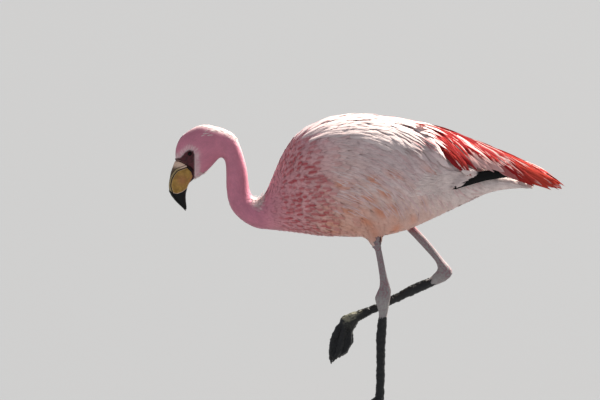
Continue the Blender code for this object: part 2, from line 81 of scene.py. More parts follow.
def linear(hex_value):
    parts = [int(hex_value[k : k + 2], 16) / 255 for k in (1, 3, 5)]
    return tuple(c / 12.92 if c <= 0.04045 else ((c + 0.055) / 1.055) ** 2.4 for c in parts) + (1.0,)


def connect(tree, node, **inputs):
    """Fills a node's inputs, each with a value, a hex colour, an output, or a node for its first output.

    An input goes by its name, with _ for a space, or by its number, as in i0.
    """
    for name, value in inputs.items():
        key = int(name[1:]) if name[0] == "i" and name[1:].isdigit() else name.replace("_", " ")
        if isinstance(value, bpy.types.Node):
            value = next(output for output in value.outputs if output.enabled)
        if isinstance(value, bpy.types.NodeSocket):
            tree.links.new(value, node.inputs[key])
        else:
            node.inputs[key].default_value = linear(value) if isinstance(value, str) else value


def add(tree, kind, settings=None, **inputs):
    """Adds a node of a kind, with its settings and its inputs."""
    node = tree.nodes.new(kind)
    for name, value in (settings or {}).items():
        setattr(node, name, value)
    connect(tree, node, **inputs)
    return node


def new_material(name, roughness, specular, **more):
    """A material with a bare Principled shader; each finish adds its own pattern to it."""
    made = bpy.data.materials.new(name)
    made.use_nodes = True
    shader = made.node_tree.nodes["Principled BSDF"]
    connect(made.node_tree, shader, Roughness=roughness, Specular_IOR_Level=specular, **more)
    return made, made.node_tree, shader


def mesh_object(name, points, faces):
    mesh = bpy.data.meshes.new(name)
    mesh.from_pydata(points, [], faces)
    piece = bpy.data.objects.new(name, mesh)
    bpy.context.scene.collection.objects.link(piece)
    return piece


def points_of(mesh):
    found = np.empty(len(mesh.vertices) * 3)
    mesh.vertices.foreach_get("co", found)
    return found.reshape(-1, 3)


def normals_of(mesh):
    found = np.empty(len(mesh.vertices) * 3)
    mesh.vertex_normals.foreach_get("vector", found)
    return found.reshape(-1, 3)


def move_points(mesh, points):
    mesh.vertices.foreach_set("co", points.ravel())
    mesh.update()


STORED = {1: ("FLOAT", "value"), 3: ("FLOAT_VECTOR", "vector"), 4: ("FLOAT_COLOR", "color")}


def store(mesh, name, table):
    """Keeps numbers on the points of a mesh, one, three or four to a point, for its material to read."""
    kind, field = STORED[table[0].size]
    attribute = mesh.attributes.new(name, kind, "POINT")
    attribute.data.foreach_set(field, table.astype(np.float32).ravel())


def unit(vectors):
    return vectors / np.maximum(np.linalg.norm(vectors, axis=-1, keepdims=True), 1e-12)


def smoothstep(low, high, value):
    """0 to 1 while value goes from low to high, with soft ends; low may be the greater one."""
    t = np.clip((value - low) / (high - low), 0, 1)
    return t * t * (3 - 2 * t)


MID_GREY = "#808080"
print("mid grey in linear colour:", round(linear(MID_GREY)[0], 3))

# %% [markdown]
# ## One form out of many solids
#
# The solids are parted by thin gaps and are slightly faceted. A voxel remesh turns any number of closed
# solids into one closed surface: each is first swollen by a little more than the gap, so that they melt
# together, and a few rounds of smoothing then take out the facets. A Boolean would keep both the gaps and
# the facets.

# %% Melt solids together
SWELL = 0.45 * MM  # a little over the 0.4 mm between two solids


def melted(name, nodes, voxel_mm, rounds, bridges=()):
    """One closed surface round several solids and any bridges between them."""
    work = bmesh.new()
    for mesh in [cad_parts[node].data for node in nodes] + list(bridges):
        work.from_mesh(mesh)
    bmesh.ops.remove_doubles(work, verts=work.verts, dist=1e-6)
    bmesh.ops.recalc_face_normals(work, faces=work.faces)
    for vert in work.verts:
        vert.co += vert.normal * SWELL
    mesh = bpy.data.meshes.new(name)
    work.to_mesh(mesh)
    work.free()
    piece = bpy.data.objects.new(name, mesh)
    bpy.context.scene.collection.objects.link(piece)
    remesh = piece.modifiers.new("melt", "REMESH")
    remesh.mode = "VOXEL"
    remesh.voxel_size = voxel_mm * MM
    smooth = piece.modifiers.new("smooth", "SMOOTH")
    smooth.factor = 0.5
    smooth.iterations = rounds
    return applied(piece)


def applied(piece):
    """piece with its modifiers made part of its mesh."""
    bpy.context.view_layer.update()
    mesh = bpy.data.meshes.new_from_object(piece.evaluated_get(bpy.context.evaluated_depsgraph_get()))
    piece.modifiers.clear()
    piece.data = mesh
    return piece


FEATHERED = ["head", "neck_upper", "neck_middle", "neck_lower", "trunk", "tail",
             "wing_left", "wing_right", "thigh_left", "thigh_right"]
FORM_VOXEL = 2.8  # mm: under the width of a feather
form = melted("form", FEATHERED + ["face"], FORM_VOXEL, 6)
print("form:", len(form.data.vertices), "points")

# %% [markdown]
# ## Which solid is nearest
#
# The coat changes from place to place, and the solids already say where the places are. Each point of the
# form is labelled with the solid nearest to it. A value given for each solid, such as the length of its
# feathers, is then spread over the form and blurred along its edges, so that no step shows where one solid
# ends. The same blur, used on the points themselves, eases the steps where the wings stand proud and the
# facets of the head.

# %% Label the form and blur values over it
def tree_of(nodes):
    """A search tree over the faces of several solids, and the number of the solid that each face is from."""
    points, faces, owner = [], [], []
    for number, node in enumerate(nodes):
        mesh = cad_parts[node].data
        start = len(points)
        points += [vert.co.copy() for vert in mesh.vertices]
        faces += [[start + corner for corner in face.vertices] for face in mesh.polygons]
        owner += [number] * len(mesh.polygons)
    return BVHTree.FromPolygons(points, faces), np.array(owner)


def labels_at(points, nodes):
    tree, owner = tree_of(nodes)
    return owner[[tree.find_nearest(point)[2] for point in points]]


def edges_of(mesh):
    found = np.empty(len(mesh.edges) * 2, dtype=np.int64)
    mesh.edges.foreach_get("vertices", found)
    return found.reshape(-1, 2)


def blurred(values, edges, rounds):
    """Values at the points of a mesh, each averaged with its neighbours, rounds times."""
    count = len(values)
    ends = np.concatenate([edges[:, 0], edges[:, 1]])
    others = np.concatenate([edges[:, 1], edges[:, 0]])
    degree = np.bincount(ends, minlength=count)
    columns = values.reshape(count, -1).T.copy()
    for _ in range(rounds):
        for k, column in enumerate(columns):
            around = np.bincount(ends, weights=column[others], minlength=count) / np.maximum(degree, 1)
            columns[k] = 0.5 * column + 0.5 * around
    return columns.T.reshape(values.shape)


FORM_NODES = FEATHERED + ["face"]


def labelled(labels, *nodes):
    """True where a label is that of one of the nodes."""
    return np.isin(labels, [FORM_NODES.index(node) for node in nodes])


form_points = points_of(form.data)
form_labels = labels_at(form_points, FORM_NODES)
form_edges = edges_of(form.data)
bulk = labelled(form_labels, "trunk", "wing_left", "wing_right")
slender = labelled(form_labels, "head", "neck_upper", "neck_middle")
for part, rounds, soft_border in ((bulk, 26, 8), (slender, 8, 3)):
    eased = blurred(form_points, form_edges, rounds)
    form_points += (eased - form_points) * blurred(part.astype(float), form_edges, soft_border)[:, None]
move_points(form.data, form_points)
form_normals = normals_of(form.data)
print("labels:", dict(zip(FORM_NODES, np.bincount(form_labels).tolist())))

# %% [markdown]
# ## The lie of the coat
#
# Feathers point away from the bill, over the crown and down the neck, spread over the breast and close
# again at the tail. Heat does the same: held hot at the face and cold at the tail and the feet, a body
# settles into a smooth field whose slope runs just that way. The field is found with conjugate gradients, a
# short loop that needs nothing but sums over the edges.

# %% Solve for the field that feathers follow
def settled_field(count, edges, fixed, values, rounds=2500):
    """The smooth field on a mesh that has the given values where fixed is true."""
    ends = np.concatenate([edges[:, 0], edges[:, 1]])
    others = np.concatenate([edges[:, 1], edges[:, 0]])
    degree = np.bincount(ends, minlength=count).astype(float)
    free = ~fixed

    def laplacian(field):
        return degree * field - np.bincount(ends, weights=field[others], minlength=count)

    field = np.where(fixed, values, 0.5)
    residual = np.where(free, -laplacian(field), 0)
    scaled = residual / degree
    step = scaled.copy()
    now = residual @ scaled
    for _ in range(rounds):
        moved = np.where(free, laplacian(step), 0)
        share = now / (step @ moved)
        field += share * step
        residual -= share * moved
        scaled = residual / degree
        after = residual @ scaled
        if after < 1e-16:
            break
        step = scaled + (after / now) * step
        now = after
    return field


def slope_of(points, triangles, field):
    """Unit slope of a field at the points of a mesh."""
    a, b, c = (points[triangles[:, k]] for k in range(3))
    normal = np.cross(b - a, c - a)
    area = np.maximum((normal**2).sum(1, keepdims=True), 1e-20)
    fa, fb, fc = (field[triangles[:, k]][:, None] for k in range(3))
    slope = np.cross(normal, fa * (c - b) + fb * (a - c) + fc * (b - a)) / area
    total = np.zeros_like(points)
    for k in range(3):
        np.add.at(total, triangles[:, k], unit(slope))
    return unit(total)


def triangles_of(mesh):
    mesh.calc_loop_triangles()
    found = np.empty(len(mesh.loop_triangles) * 3, dtype=np.int32)
    mesh.loop_triangles.foreach_get("vertices", found)
    return found.reshape(-1, 3)


form_triangles = triangles_of(form.data)
is_node = {node: form_labels == number for number, node in enumerate(FORM_NODES)}
hot = is_node["face"]
cold = is_node["tail"] & (form_points[:, 0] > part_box("tail")[1].x - 8 * MM)
for node in ("thigh_left", "thigh_right"):
    cold |= is_node[node] & (form_points[:, 2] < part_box(node)[0].z + 5 * MM)
form_field = settled_field(len(form_points), form_edges, hot | cold, cold.astype(float))
form_slopes = unit(blurred(slope_of(form_points, form_triangles, form_field), form_edges, 4))
print("field: from", round(form_field.min(), 3), "to", round(form_field.max(), 3))

# %% [markdown]
# ## How large the feathers are
#
# The sizes of the feathers are those of the real bird: 5 mm long at the face and almost 40 mm on the
# flanks. They are given for each solid and blurred over the form. On the breast they are smaller than on
# the rest of the trunk, so the trunk's own size shrinks towards the front.

# %% Sizes of the small feathers, by solid
COAT = {  # length, width, distance between roots and depth of the coat, in mm
    "face": (5, 1.8, 1.4, 0.4),
    "head": (9, 2.4, 1.45, 0.9),
    "neck_upper": (14, 3.2, 1.9, 1.4),
    "neck_middle": (16, 3.8, 2.2, 1.8),
    "neck_lower": (18, 4.8, 2.7, 2.4),
    "trunk": (32, 11, 5.2, 7),
    "wing_left": (38, 11, 5.4, 6),
    "wing_right": (38, 11, 5.4, 6),
    "tail": (34, 11, 5.5, 4),
    "thigh_left": (14, 4, 2.8, 3),
    "thigh_right": (14, 4, 2.8, 3),
}
coat_table = np.array([COAT[node] for node in FORM_NODES], dtype=float) * MM
form_coat = blurred(coat_table[form_labels], form_edges, 45)  # sizes change over some 3 cm
TRUNK_LOW, TRUNK_HIGH = (np.array(corner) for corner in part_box("trunk"))


def on_trunk(points):
    """How far back from the breast and how far up from the belly points are, in trunks."""
    ahead, _, up = ((points - TRUNK_LOW) / (TRUNK_HIGH - TRUNK_LOW)).T
    return ahead, up


BREAST_SHRINK = ((0.0, 0.36), (0.55, 1.0))  # this far back, this share of the size
shrink = np.where(bulk, np.interp(on_trunk(form_points)[0], *BREAST_SHRINK), 1.0)
shrink = blurred(shrink, form_edges, 6)
form_coat *= np.stack([shrink, shrink, shrink, shrink**1.6], axis=1)
face_share = blurred(is_node["face"].astype(float), form_edges, 2)
shortest, longest = form_coat[:, 0].min() / MM, form_coat[:, 0].max() / MM
print("coat: feathers from", round(shortest, 1), "to", round(longest, 1), "mm")

# %% [markdown]
# ## Where feathers are rooted
#
# Roots are thrown onto the form at random, and one is kept only if no other is too near, which spaces them
# evenly with no visible rows. Points kept so far are looked up in a coarse grid, which is what makes it
# quick. Each root keeps its point, the way out of the body, the way the coat lies there and the sizes of
# its feather.

# %% Throw roots onto the form
def thrown(points, triangles, apart, count):
    """Random points on a mesh, more where they may stand closer: the triangle and three weights of each."""
    a, b, c = (points[triangles[:, k]] for k in range(3))
    area = np.linalg.norm(np.cross(b - a, c - a), axis=1) / apart[triangles].mean(axis=1) ** 2
    chosen = dice.choice(len(triangles), size=count, p=area / area.sum())
    u, v = dice.random((2, count))
    over = u + v > 1
    u, v = np.where(over, 1 - u, u), np.where(over, 1 - v, v)
    return chosen, np.stack([1 - u - v, u, v], axis=1)


def spaced(points, distances, cell):
    """Numbers of the points that are kept so that each stands clear of the others kept before it."""
    grid = {}
    kept = []
    cells = np.floor(points / cell).astype(int).tolist()
    rows = points.tolist()
    for number, ((x, y, z), (i, j, k), distance) in enumerate(zip(rows, cells, distances.tolist())):
        reach = range(-math.ceil(distance / cell), math.ceil(distance / cell) + 1)
        square = distance * distance
        near = (spot for di, dj, dk in product(reach, repeat=3)
                for spot in grid.get((i + di, j + dj, k + dk), ()))
        if all((ox - x) ** 2 + (oy - y) ** 2 + (oz - z) ** 2 >= square for ox, oy, oz in near):
            grid.setdefault((i, j, k), []).append((x, y, z))
            kept.append(number)
    return np.array(kept)


CANDIDATES = 120000  # about ten for each root that is kept
chosen, weights = thrown(form_points, form_triangles, form_coat[:, 2], CANDIDATES)
corner_sets = form_triangles[chosen]


def at_roots(values):
    return np.einsum("nk,nk...->n...", weights, values[corner_sets])


root_points = at_roots(form_points)
kept = spaced(root_points, at_roots(form_coat)[:, 2], 5 * MM)
weights, corner_sets = weights[kept], corner_sets[kept]
root_points = root_points[kept]
root_normals = unit(at_roots(form_normals))
root_slopes = at_roots(form_slopes)
root_coat = at_roots(form_coat)
root_field = at_roots(form_field)
root_face = at_roots(face_share)
root_labels = form_labels[corner_sets[:, 0]]
print("roots:", len(root_points), dict(zip(FORM_NODES, np.bincount(root_labels).tolist())))

# %% [markdown]
# ## Unrolling the body
#
# The baked map of the coat is a square, so each root needs two numbers that unroll the body onto it. How
# far along it lies is the share of the whole area before it in the field. The middles of the field's bands,
# from the face to the tail, give the body an axis, and round that axis each root has an angle: the second
# number.

# %% Unroll the roots
BANDS = 160  # of the field, each with as many points as the next
on_body = ~(is_node["thigh_left"] | is_node["thigh_right"])
band_edges = np.quantile(form_field[on_body], np.linspace(0, 1, BANDS + 1))
band_of = np.clip(np.searchsorted(band_edges, form_field[on_body]) - 1, 0, BANDS - 1)
band_size = np.maximum(np.bincount(band_of, minlength=BANDS), 1)
axis_rows = []
for k in (0, 2):
    sums = np.bincount(band_of, weights=form_points[on_body][:, k], minlength=BANDS)
    axis_rows.append(np.convolve(np.pad(sums / band_size, 4, mode="edge"), np.ones(9) / 9, mode="valid"))
axis_x, axis_z = axis_rows
axis_way = unit(np.stack([np.gradient(axis_x), np.gradient(axis_z)], axis=1))
band_middle = (band_edges[1:] + band_edges[:-1]) / 2


def unrolled(points, field):
    """How far along the body and how far round it points lie, both from 0 to 1."""
    x, z = np.interp(field, band_middle, axis_x), np.interp(field, band_middle, axis_z)
    way_x, way_z = (np.interp(field, band_middle, axis_way[:, k]) for k in range(2))
    towards_back = (points[:, 2] - z) * way_x - (points[:, 0] - x) * way_z
    round_it = np.arctan2(points[:, 1], towards_back) / (2 * math.pi) + 0.5
    return np.interp(field, band_edges, np.linspace(0, 1, BANDS + 1)), round_it


root_along, root_round = unrolled(root_points, root_field)
print("axis: from", axis_x[0].round(3), axis_z[0].round(3), "to", axis_x[-1].round(3), axis_z[-1].round(3))

# %% [markdown]
# ## The path of a feather
#
# A feather hugs the body. So its path is walked in a few short steps: each goes on straight ahead, and is
# then dropped onto the nearest point of the form. A shrinkwrap over finished feathers would press their
# loose tips flat as well.

# %% Trace paths over a surface
form_tree = BVHTree.FromPolygons(form_points.tolist(), form_triangles.tolist())
form_face_normals = unit(form_normals[form_triangles].sum(axis=1))


def onto(points, tree, face_normals):
    """The nearest points of a surface and its ways out there."""
    hits = [tree.find_nearest(point) for point in points.tolist()]
    return np.array([hit[0] for hit in hits]), face_normals[[hit[2] for hit in hits]]


def along_surface(ways, outs):
    return unit(ways - (ways * outs).sum(axis=1, keepdims=True) * outs)


def traced(roots, ways, lengths, steps, turn=0.0, tree=form_tree, face_normals=form_face_normals):
    """Paths over a surface that turn by so many radians on their way, and the ways out along them."""
    here, out = onto(roots, tree, face_normals)
    way = along_surface(ways, out)
    path, outs = [here], [out]
    turn = np.broadcast_to(np.asarray(turn, dtype=float), (len(roots),))[:, None] / steps
    for _ in range(steps):
        way = way * np.cos(turn) + np.cross(out, way) * np.sin(turn)
        here, out = onto(here + way * (lengths / steps)[:, None], tree, face_normals)
        way = along_surface(way, out)
        path.append(here)
        outs.append(out)
    return np.stack(path, axis=1), np.stack(outs, axis=1)


print("surface to trace over:", len(form_triangles), "triangles")

# %% [markdown]
# ## How a feather is made
#
# A feather is a small sheet along its path. Its root lies deep in the coat and its tip at the top of it, so
# that each covers the roots of those behind it, as tiles do. It is arched across, its outline comes from a
# short table for its kind, and its end is frayed: every other column of points stops short, as barbs do
# that have come apart. All feathers of a piece are built at once, as one table of points.

# %% Build vanes
# half width along a feather: share of the length, and share of the half width there
OUTLINES = {
    "contour": ((0, 0.35), (0.25, 0.85), (0.55, 1.0), (0.85, 0.86), (1, 0.5)),
    "plume": ((0, 0.5), (0.2, 0.9), (0.5, 1.0), (0.8, 0.62), (1, 0.1)),
    "blade": ((0, 0.2), (0.25, 0.8), (0.6, 1.0), (0.85, 0.72), (1, 0.14)),
    "quill": ((0, 0.8), (0.3, 1.0), (0.75, 0.95), (0.92, 0.6), (1, 0.15)),
}


def vanes(path, outs, widths, lows, highs, outline, across=4, rows=4, fray=0.12, rounding=0.2, arch=0.1):
    """Points, faces and the place on the vane (across, along, number) of one sheet for each path.

    lows and highs are how far out of the form each root and each tip lies.
    """
    count, knots = path.shape[:2]
    side = np.linspace(-1, 1, across + 1)
    ends = 1 - rounding * np.abs(side) ** 2.5 - fray * dice.random((count, across + 1))
    ends[:, 1::2] -= fray * 0.8
    share = np.linspace(0, 1, rows + 1)[None, :, None] * ends[:, None, :]
    spot = np.clip(share * (knots - 1), 0, knots - 1 - 1e-9)
    whole = np.floor(spot).astype(int)
    part = (spot - whole)[..., None]
    number = np.arange(count)[:, None, None]
    centre = path[number, whole] * (1 - part) + path[number, whole + 1] * part
    out = unit(outs[number, whole] * (1 - part) + outs[number, whole + 1] * part)
    way = unit(path[number, whole + 1] - path[number, whole])
    sideways = np.cross(way, out)
    half = np.interp(share, *zip(*OUTLINES[outline])) * (widths / 2)[:, None, None]
    rise = 1 - (1 - share) ** 2
    height = lows[:, None, None] * (1 - rise) + highs[:, None, None] * rise
    height = height - arch * widths[:, None, None] * side**2
    points = centre + sideways * (side * half)[..., None] + out * height[..., None]
    deep = across + 1
    first = (np.arange(rows)[:, None] * deep + np.arange(across)).ravel()
    quad = np.stack([first, first + 1, first + 1 + deep, first + deep], axis=1)
    faces = quad[None] + (np.arange(count) * (rows + 1) * deep)[:, None, None]
    place = np.stack(np.broadcast_arrays(side, share, number + 0.0), axis=-1)
    return points.reshape(-1, 3), faces.reshape(-1, 4), place.reshape(-1, 3)


print("kinds of feather:", ", ".join(OUTLINES))

# %% [markdown]
# ## A piece of coat and its map
#
# Feathers are kept in a few large pieces, one for each region. Every feather owns a small patch of the bake
# map, at the place where the body's unrolled square has its root, so neighbours share colours there. Its
# place across and along the vane, and its markings, are kept on its points for the material.

# %% Make a piece of coat
PATCH = 0.003  # side of a feather's patch on the bake map
SQUARE = (0.01, 0.985)  # the part of the map that the roots fill


def stretched(values):
    """Values moved to fill the bake map's square from edge to edge."""
    return (values - values.min()) / np.ptp(values) * (SQUARE[1] - SQUARE[0]) + SQUARE[0]


def feather_piece(name, built, roots_uv, marks, material, replaced=()):
    """One object from built feathers, with its bake map, its markings and its ties to the frame."""
    points, faces, place = built
    piece = mesh_object(name, points, faces)
    mesh = piece.data
    number = place[:, 2].astype(int)
    uv = np.stack([stretched(axis) for axis in roots_uv], axis=1)[number]
    uv = uv + PATCH * np.stack([place[:, 0] / 2 + 0.5, place[:, 1]], axis=1)
    layer = mesh.uv_layers.new(name="OFBake")
    layer.uv.foreach_set("vector", uv[faces.ravel()].astype(np.float32).ravel())
    shade = dice.random(number.max() + 1)[number]
    store(mesh, "vane", np.stack([place[:, 0], place[:, 1], shade], axis=1))
    store(mesh, "marks", marks)
    mesh.shade_smooth()
    mesh.materials.append(material)
    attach(piece, "root")
    if replaced:
        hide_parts(*replaced)
    print(name, number.max() + 1, "feathers,", 2 * len(faces), "triangles")


print("bake map: a feather's patch is", PATCH, "of its side")

# %% [markdown]
# ## What colours a flamingo
#
# The pink is food: carotenoids from algae and brine shrimp, laid down most strongly on the head and neck,
# as carmine shafts on the breast, and as scarlet in the long feathers that close over the wings. The mantle
# is almost white, the belly has a warm apricot cast, and the flight feathers are black with melanin. The
# crown and the nape are paler where they face up and a little back, towards the key light: partly paler
# feathers of their own, partly a painted highlight of the sun on them. A pale border runs round the bare
# face. Where each pigment lies follows from the place on the trunk: `ahead` runs from the breast to the tail
# and `up` from the belly to the back, both from 0 to 1. Skin and feathers share one function, so they carry
# the same markings, painted highlight included.

# %% Place the markings
PALE_AND_LIT = 0.92  # share of the rose taken from the crown and the back of the neck where they face the key light: partly real paleness, partly painted highlight


def facing_key_light(outs):
    """How far ways out of the body face up and a little back, towards the key light, where the crown and nape
    get their painted highlight.
    """
    return outs @ np.array([0.32, 0.0, 0.95])


def markings(points, near_face, lit_facing):
    """Shares of rose and of apricot at points of the body, where lit_facing is how far they face the key light.
    """
    ahead, up = on_trunk(points)
    rose = 1 - smoothstep(0.04, 0.36 + 0.1 * (1 - up), ahead)
    rose = np.maximum(rose, 0.15 * smoothstep(0.35, 0.6, up) * smoothstep(0.85, 0.6, ahead))
    rose = rose * (1 - 0.8 * near_face)
    # painted highlight, partly real paleness: rose taken out where the crown and nape face the key light
    rose = rose * (1 - PALE_AND_LIT * smoothstep(0.36, 0.82, lit_facing) * smoothstep(0.16, -0.02, ahead))
    apricot = smoothstep(0.55, 0.12, up) * smoothstep(0.02, 0.34, ahead)
    apricot = apricot * (1 - 0.75 * smoothstep(0.5, 0.95, ahead))
    breast = smoothstep(-0.06, 0.12, ahead) * smoothstep(0.5, 0.3, ahead) * smoothstep(0.95, 0.6, up)
    apricot = np.maximum(apricot, 0.35 * breast) * (1 - 0.45 * smoothstep(0.04, -0.02, up))
    return rose, apricot


form_near_face = np.clip(2.2 * blurred(is_node["face"].astype(float), form_edges, 6), 0, 1)
root_near_face = at_roots(form_near_face)
root_rose, root_apricot = markings(root_points, root_near_face, facing_key_light(root_normals))
root_ahead, root_up = on_trunk(root_points)
print("markings: rose", round(float(root_rose.mean()), 2), "apricot", round(float(root_apricot.mean()), 2))

# %% [markdown]
# ## Contour feathers, to the eye
#
# A contour feather is keratin, matt because its barbs scatter light, with a faint silky sheen. Barbs leave
# the shaft at a slant, and where they part they draw fine lines. Real barbs are a third of a millimetre
# apart, too fine to show, so they are drawn as clumps of a millimetre or so. Each feather is a little
# lighter or darker than the next, and soft patches of wear, some 26 mm across, run over many feathers.

# %% Contour feather
PALE = "#eeddd9"  # mantle and flanks: almost white
ROSE = "#dc8ba0"  # head and neck: cool carotenoid pink
APRICOT = "#e8b5a4"  # belly: the same pigment, thin and warm
CARMINE = "#b4303a"  # shaft streaks of the breast: pigment at its densest
CORAL = "#e28f6c"  # soft blotches where a dense feather shows through paler ones


def layered(tree, colour, *layers):
    """Colours laid over one another. Each layer is the share of it that shows, and its colour."""
    for share, over in layers:
        colour = add(tree, "ShaderNodeMix", COLOURS, i0=share, i6=colour, i7=over)
    return colour


def patches(tree, size_mm, detail, low, high):
    """0 to 1 in soft patches of about a size; a texture's scale is the number of them in a metre."""
    place = add(tree, "ShaderNodeTexCoord").outputs["Object"]
    cloud = add(tree, "ShaderNodeTexNoise", Vector=place, Scale=1000 / size_mm, Detail=detail, Roughness=0.6)
    return add(tree, "ShaderNodeMapRange", EASED, i0=cloud, i1=low, i2=high)


def pigmented(tree):
    """The colour that the markings at a point give: pale, then rose, apricot, carmine and coral over it."""
    marks = add(tree, "ShaderNodeAttribute", {"attribute_name": "marks"})
    share = add(tree, "ShaderNodeSeparateColor", Color=marks).outputs
    return layered(tree, PALE, (share[0], ROSE), (share[1], APRICOT), (share[2], CARMINE),
                   (marks.outputs["Alpha"], CORAL))


OWN_START = 37.4  # clumps between the patterns of the lightest and the darkest feather


def barbs(tree, length_mm, clump_mm, slant):
    """Dark lines where barbs part, slant clumps further on at the vane's edge, and the place on the vane."""
    vane = add(tree, "ShaderNodeAttribute", {"attribute_name": "vane"})
    place = add(tree, "ShaderNodeSeparateXYZ", Vector=vane.outputs["Vector"]).outputs
    aside = add(tree, "ShaderNodeMath", {"operation": "ABSOLUTE"}, i0=place["X"])
    along = add(tree, "ShaderNodeMath", TIMES, i0=place["Y"], i1=length_mm / clump_mm)
    along = add(tree, "ShaderNodeMath", TIMES_PLUS, i0=aside, i1=-slant, i2=along)
    along = add(tree, "ShaderNodeMath", TIMES_PLUS, i0=place["Z"], i1=OWN_START, i2=along)
    lines = add(tree, "ShaderNodeTexNoise", {"noise_dimensions": "1D"}, W=along, Scale=1.0, Detail=2.0,
                Roughness=0.6)
    return lines, place


contour, tree, shader = new_material("contour_feather", 0.78, 0.3, Sheen_Weight=0.35, Sheen_Roughness=0.35)
lines, place = barbs(tree, length_mm=32, clump_mm=0.97, slant=7.04)
lined = add(tree, "ShaderNodeMapRange", i0=lines, i1=0.3, i2=0.7, i3=0.87, i4=1.07)
own = add(tree, "ShaderNodeMapRange", i0=place["Z"], i3=0.95, i4=1.04)
worn = add(tree, "ShaderNodeMapRange", i0=patches(tree, 26.3, 3, 0.3, 0.7), i3=0.93, i4=1.07)
tone = add(tree, "ShaderNodeMath", TIMES, i0=lined, i1=own)
tone = add(tree, "ShaderNodeMath", TIMES, i0=tone, i1=worn)
colour = add(tree, "ShaderNodeMix", TINTED, i0=1.0, i6=pigmented(tree), i7=tone)
bump = add(tree, "ShaderNodeBump", Strength=0.25, Distance=0.3 * MM, Height=lines)
connect(tree, shader, Base_Color=colour, Normal=bump)
print("material:", contour.name)

# %% [markdown]
# ## Small feathers, from head to thigh
#
# Each part of the body gets an object of its own. The breast feathers are shorter than the flank's. A few,
# chosen so that they stand well apart, lie on top and carry a carmine streak along the shaft; a few more on
# the flank and belly show as soft coral blotches.

# %% Choose the streaked feathers
def chosen_apart(mask, distance):
    """A share of 1 at roots in the mask that stand at least distance apart, and 0 at the rest."""
    numbers = np.flatnonzero(mask)
    numbers = numbers[spaced(root_points[numbers], np.full(len(numbers), distance), 5 * MM)]
    found = np.zeros(len(root_points))
    found[numbers] = 1
    return found


STREAKS_APART = 7.0 * MM
on_breast = (root_ahead > 0.03) & (root_ahead < 0.44 - 0.16 * root_up) & (root_up < 0.84)
streaked = chosen_apart(on_breast, STREAKS_APART)
crowded = smoothstep(0.03, 0.10, root_ahead) * smoothstep(0.92, 0.60, root_up)
crowded *= smoothstep(0.38 - 0.16 * root_up, 0.24 - 0.1 * root_up, root_ahead)
streaked *= (dice.random(len(root_points)) < 0.2 + 0.8 * crowded) * (0.3 + 0.7 * crowded)
streaked *= dice.uniform(0.6, 0.95, len(root_points))
print("streaked feathers:", int((streaked > 0).sum()))

# %% [markdown]
# ## Blotches of the flank
#
# Where a dense feather lies under paler ones, the flank shows a soft coral blotch as long as a feather and
# less than half as wide. A blotch is spread over all the feathers near its middle, so its rim doesn't
# follow any one of them. Their middles are roots too, chosen further apart.

# %% Place the blotches
BLOTCHES_APART = 23 * MM
BLOTCH_LONG = 19 * MM
BLOTCH_WIDE = 8 * MM
on_flank = (root_ahead > 0.26) & (root_ahead < 0.80) & (root_up > 0.05) & (root_up < 0.55)
blotched = np.flatnonzero(chosen_apart(on_flank, BLOTCHES_APART))
centres = KDTree(len(root_points))
for number in blotched:
    centres.insert(root_points[number], int(number))
centres.balance()


def blotches(points):
    """A share of coral that is highest in the middle of each blotch, which lies along the feathers."""
    ahead, _ = on_trunk(points)
    found = [centres.find(point)[1] for point in points.tolist()]
    away = points - root_points[found]
    along = (away * root_slopes[found]).sum(axis=1)
    across = (away**2).sum(axis=1) - along**2
    own = 0.56 + 0.34 * np.sin(np.array(found) * 12.9898)  # any fast wave makes each one of its own strength
    fades = smoothstep(0.22, 0.34, ahead) * (1 - 0.45 * smoothstep(0.45, 0.8, ahead))
    return own * np.exp(-((along / BLOTCH_LONG) ** 2) - across / BLOTCH_WIDE**2) * fades


print("blotches:", len(blotched))

# %% [markdown]
# ## Laying the coat
#
# One function lays the feathers of a region from the sizes, slopes and markings of its roots; a streaked
# feather is a little wider and lies on top of its neighbours. No feather grows on the bare face, nor at the
# back of the standing leg's tuft, where the shin comes out bare, higher behind than in front. Hair
# particles would be quicker to set up, but they draw threads and wouldn't make solid vanes that a printer
# or an exporter can use.

# %% Lay the coat
def coat_marks(built, rows):
    """The markings on every point of feathers whose numbers among the roots are given."""
    aside, along, number = built[2].T
    root = rows[number.astype(int)]
    shaft = np.exp(-((aside / 0.66) ** 2)) * smoothstep(0.1, 0.45, along)
    streak = streaked[root] * shaft
    coral = blotches(built[0]) * (streak < 0.1)
    return np.stack([root_rose[root], root_apricot[root], streak, coral], axis=1)


def laid(name, rows, across, count, fray, outline="contour", arch=0.1):
    """A piece of coat with a feather on each of the given roots."""
    ways = unit(root_slopes[rows] + 0.10 * dice.standard_normal((len(rows), 3)))
    lengths = root_coat[rows, 0] * dice.uniform(0.85, 1.15, len(rows))
    widths = root_coat[rows, 1] * dice.uniform(0.85, 1.1, len(rows)) * (1 + 0.25 * (streaked[rows] > 0))
    depth = root_coat[rows, 3]
    on_top = 0.22 * depth * (streaked[rows] > 0)
    path, outs = traced(root_points[rows], ways, lengths, 3)
    highs = on_top + depth * dice.uniform(-0.05, 0.03, len(rows))
    built = vanes(path, outs, widths, -0.9 * depth, highs, outline, across, count, fray, 0.2, arch)
    square = (root_along[rows], root_round[rows])
    feather_piece(name, built, square, coat_marks(built, rows), contour)


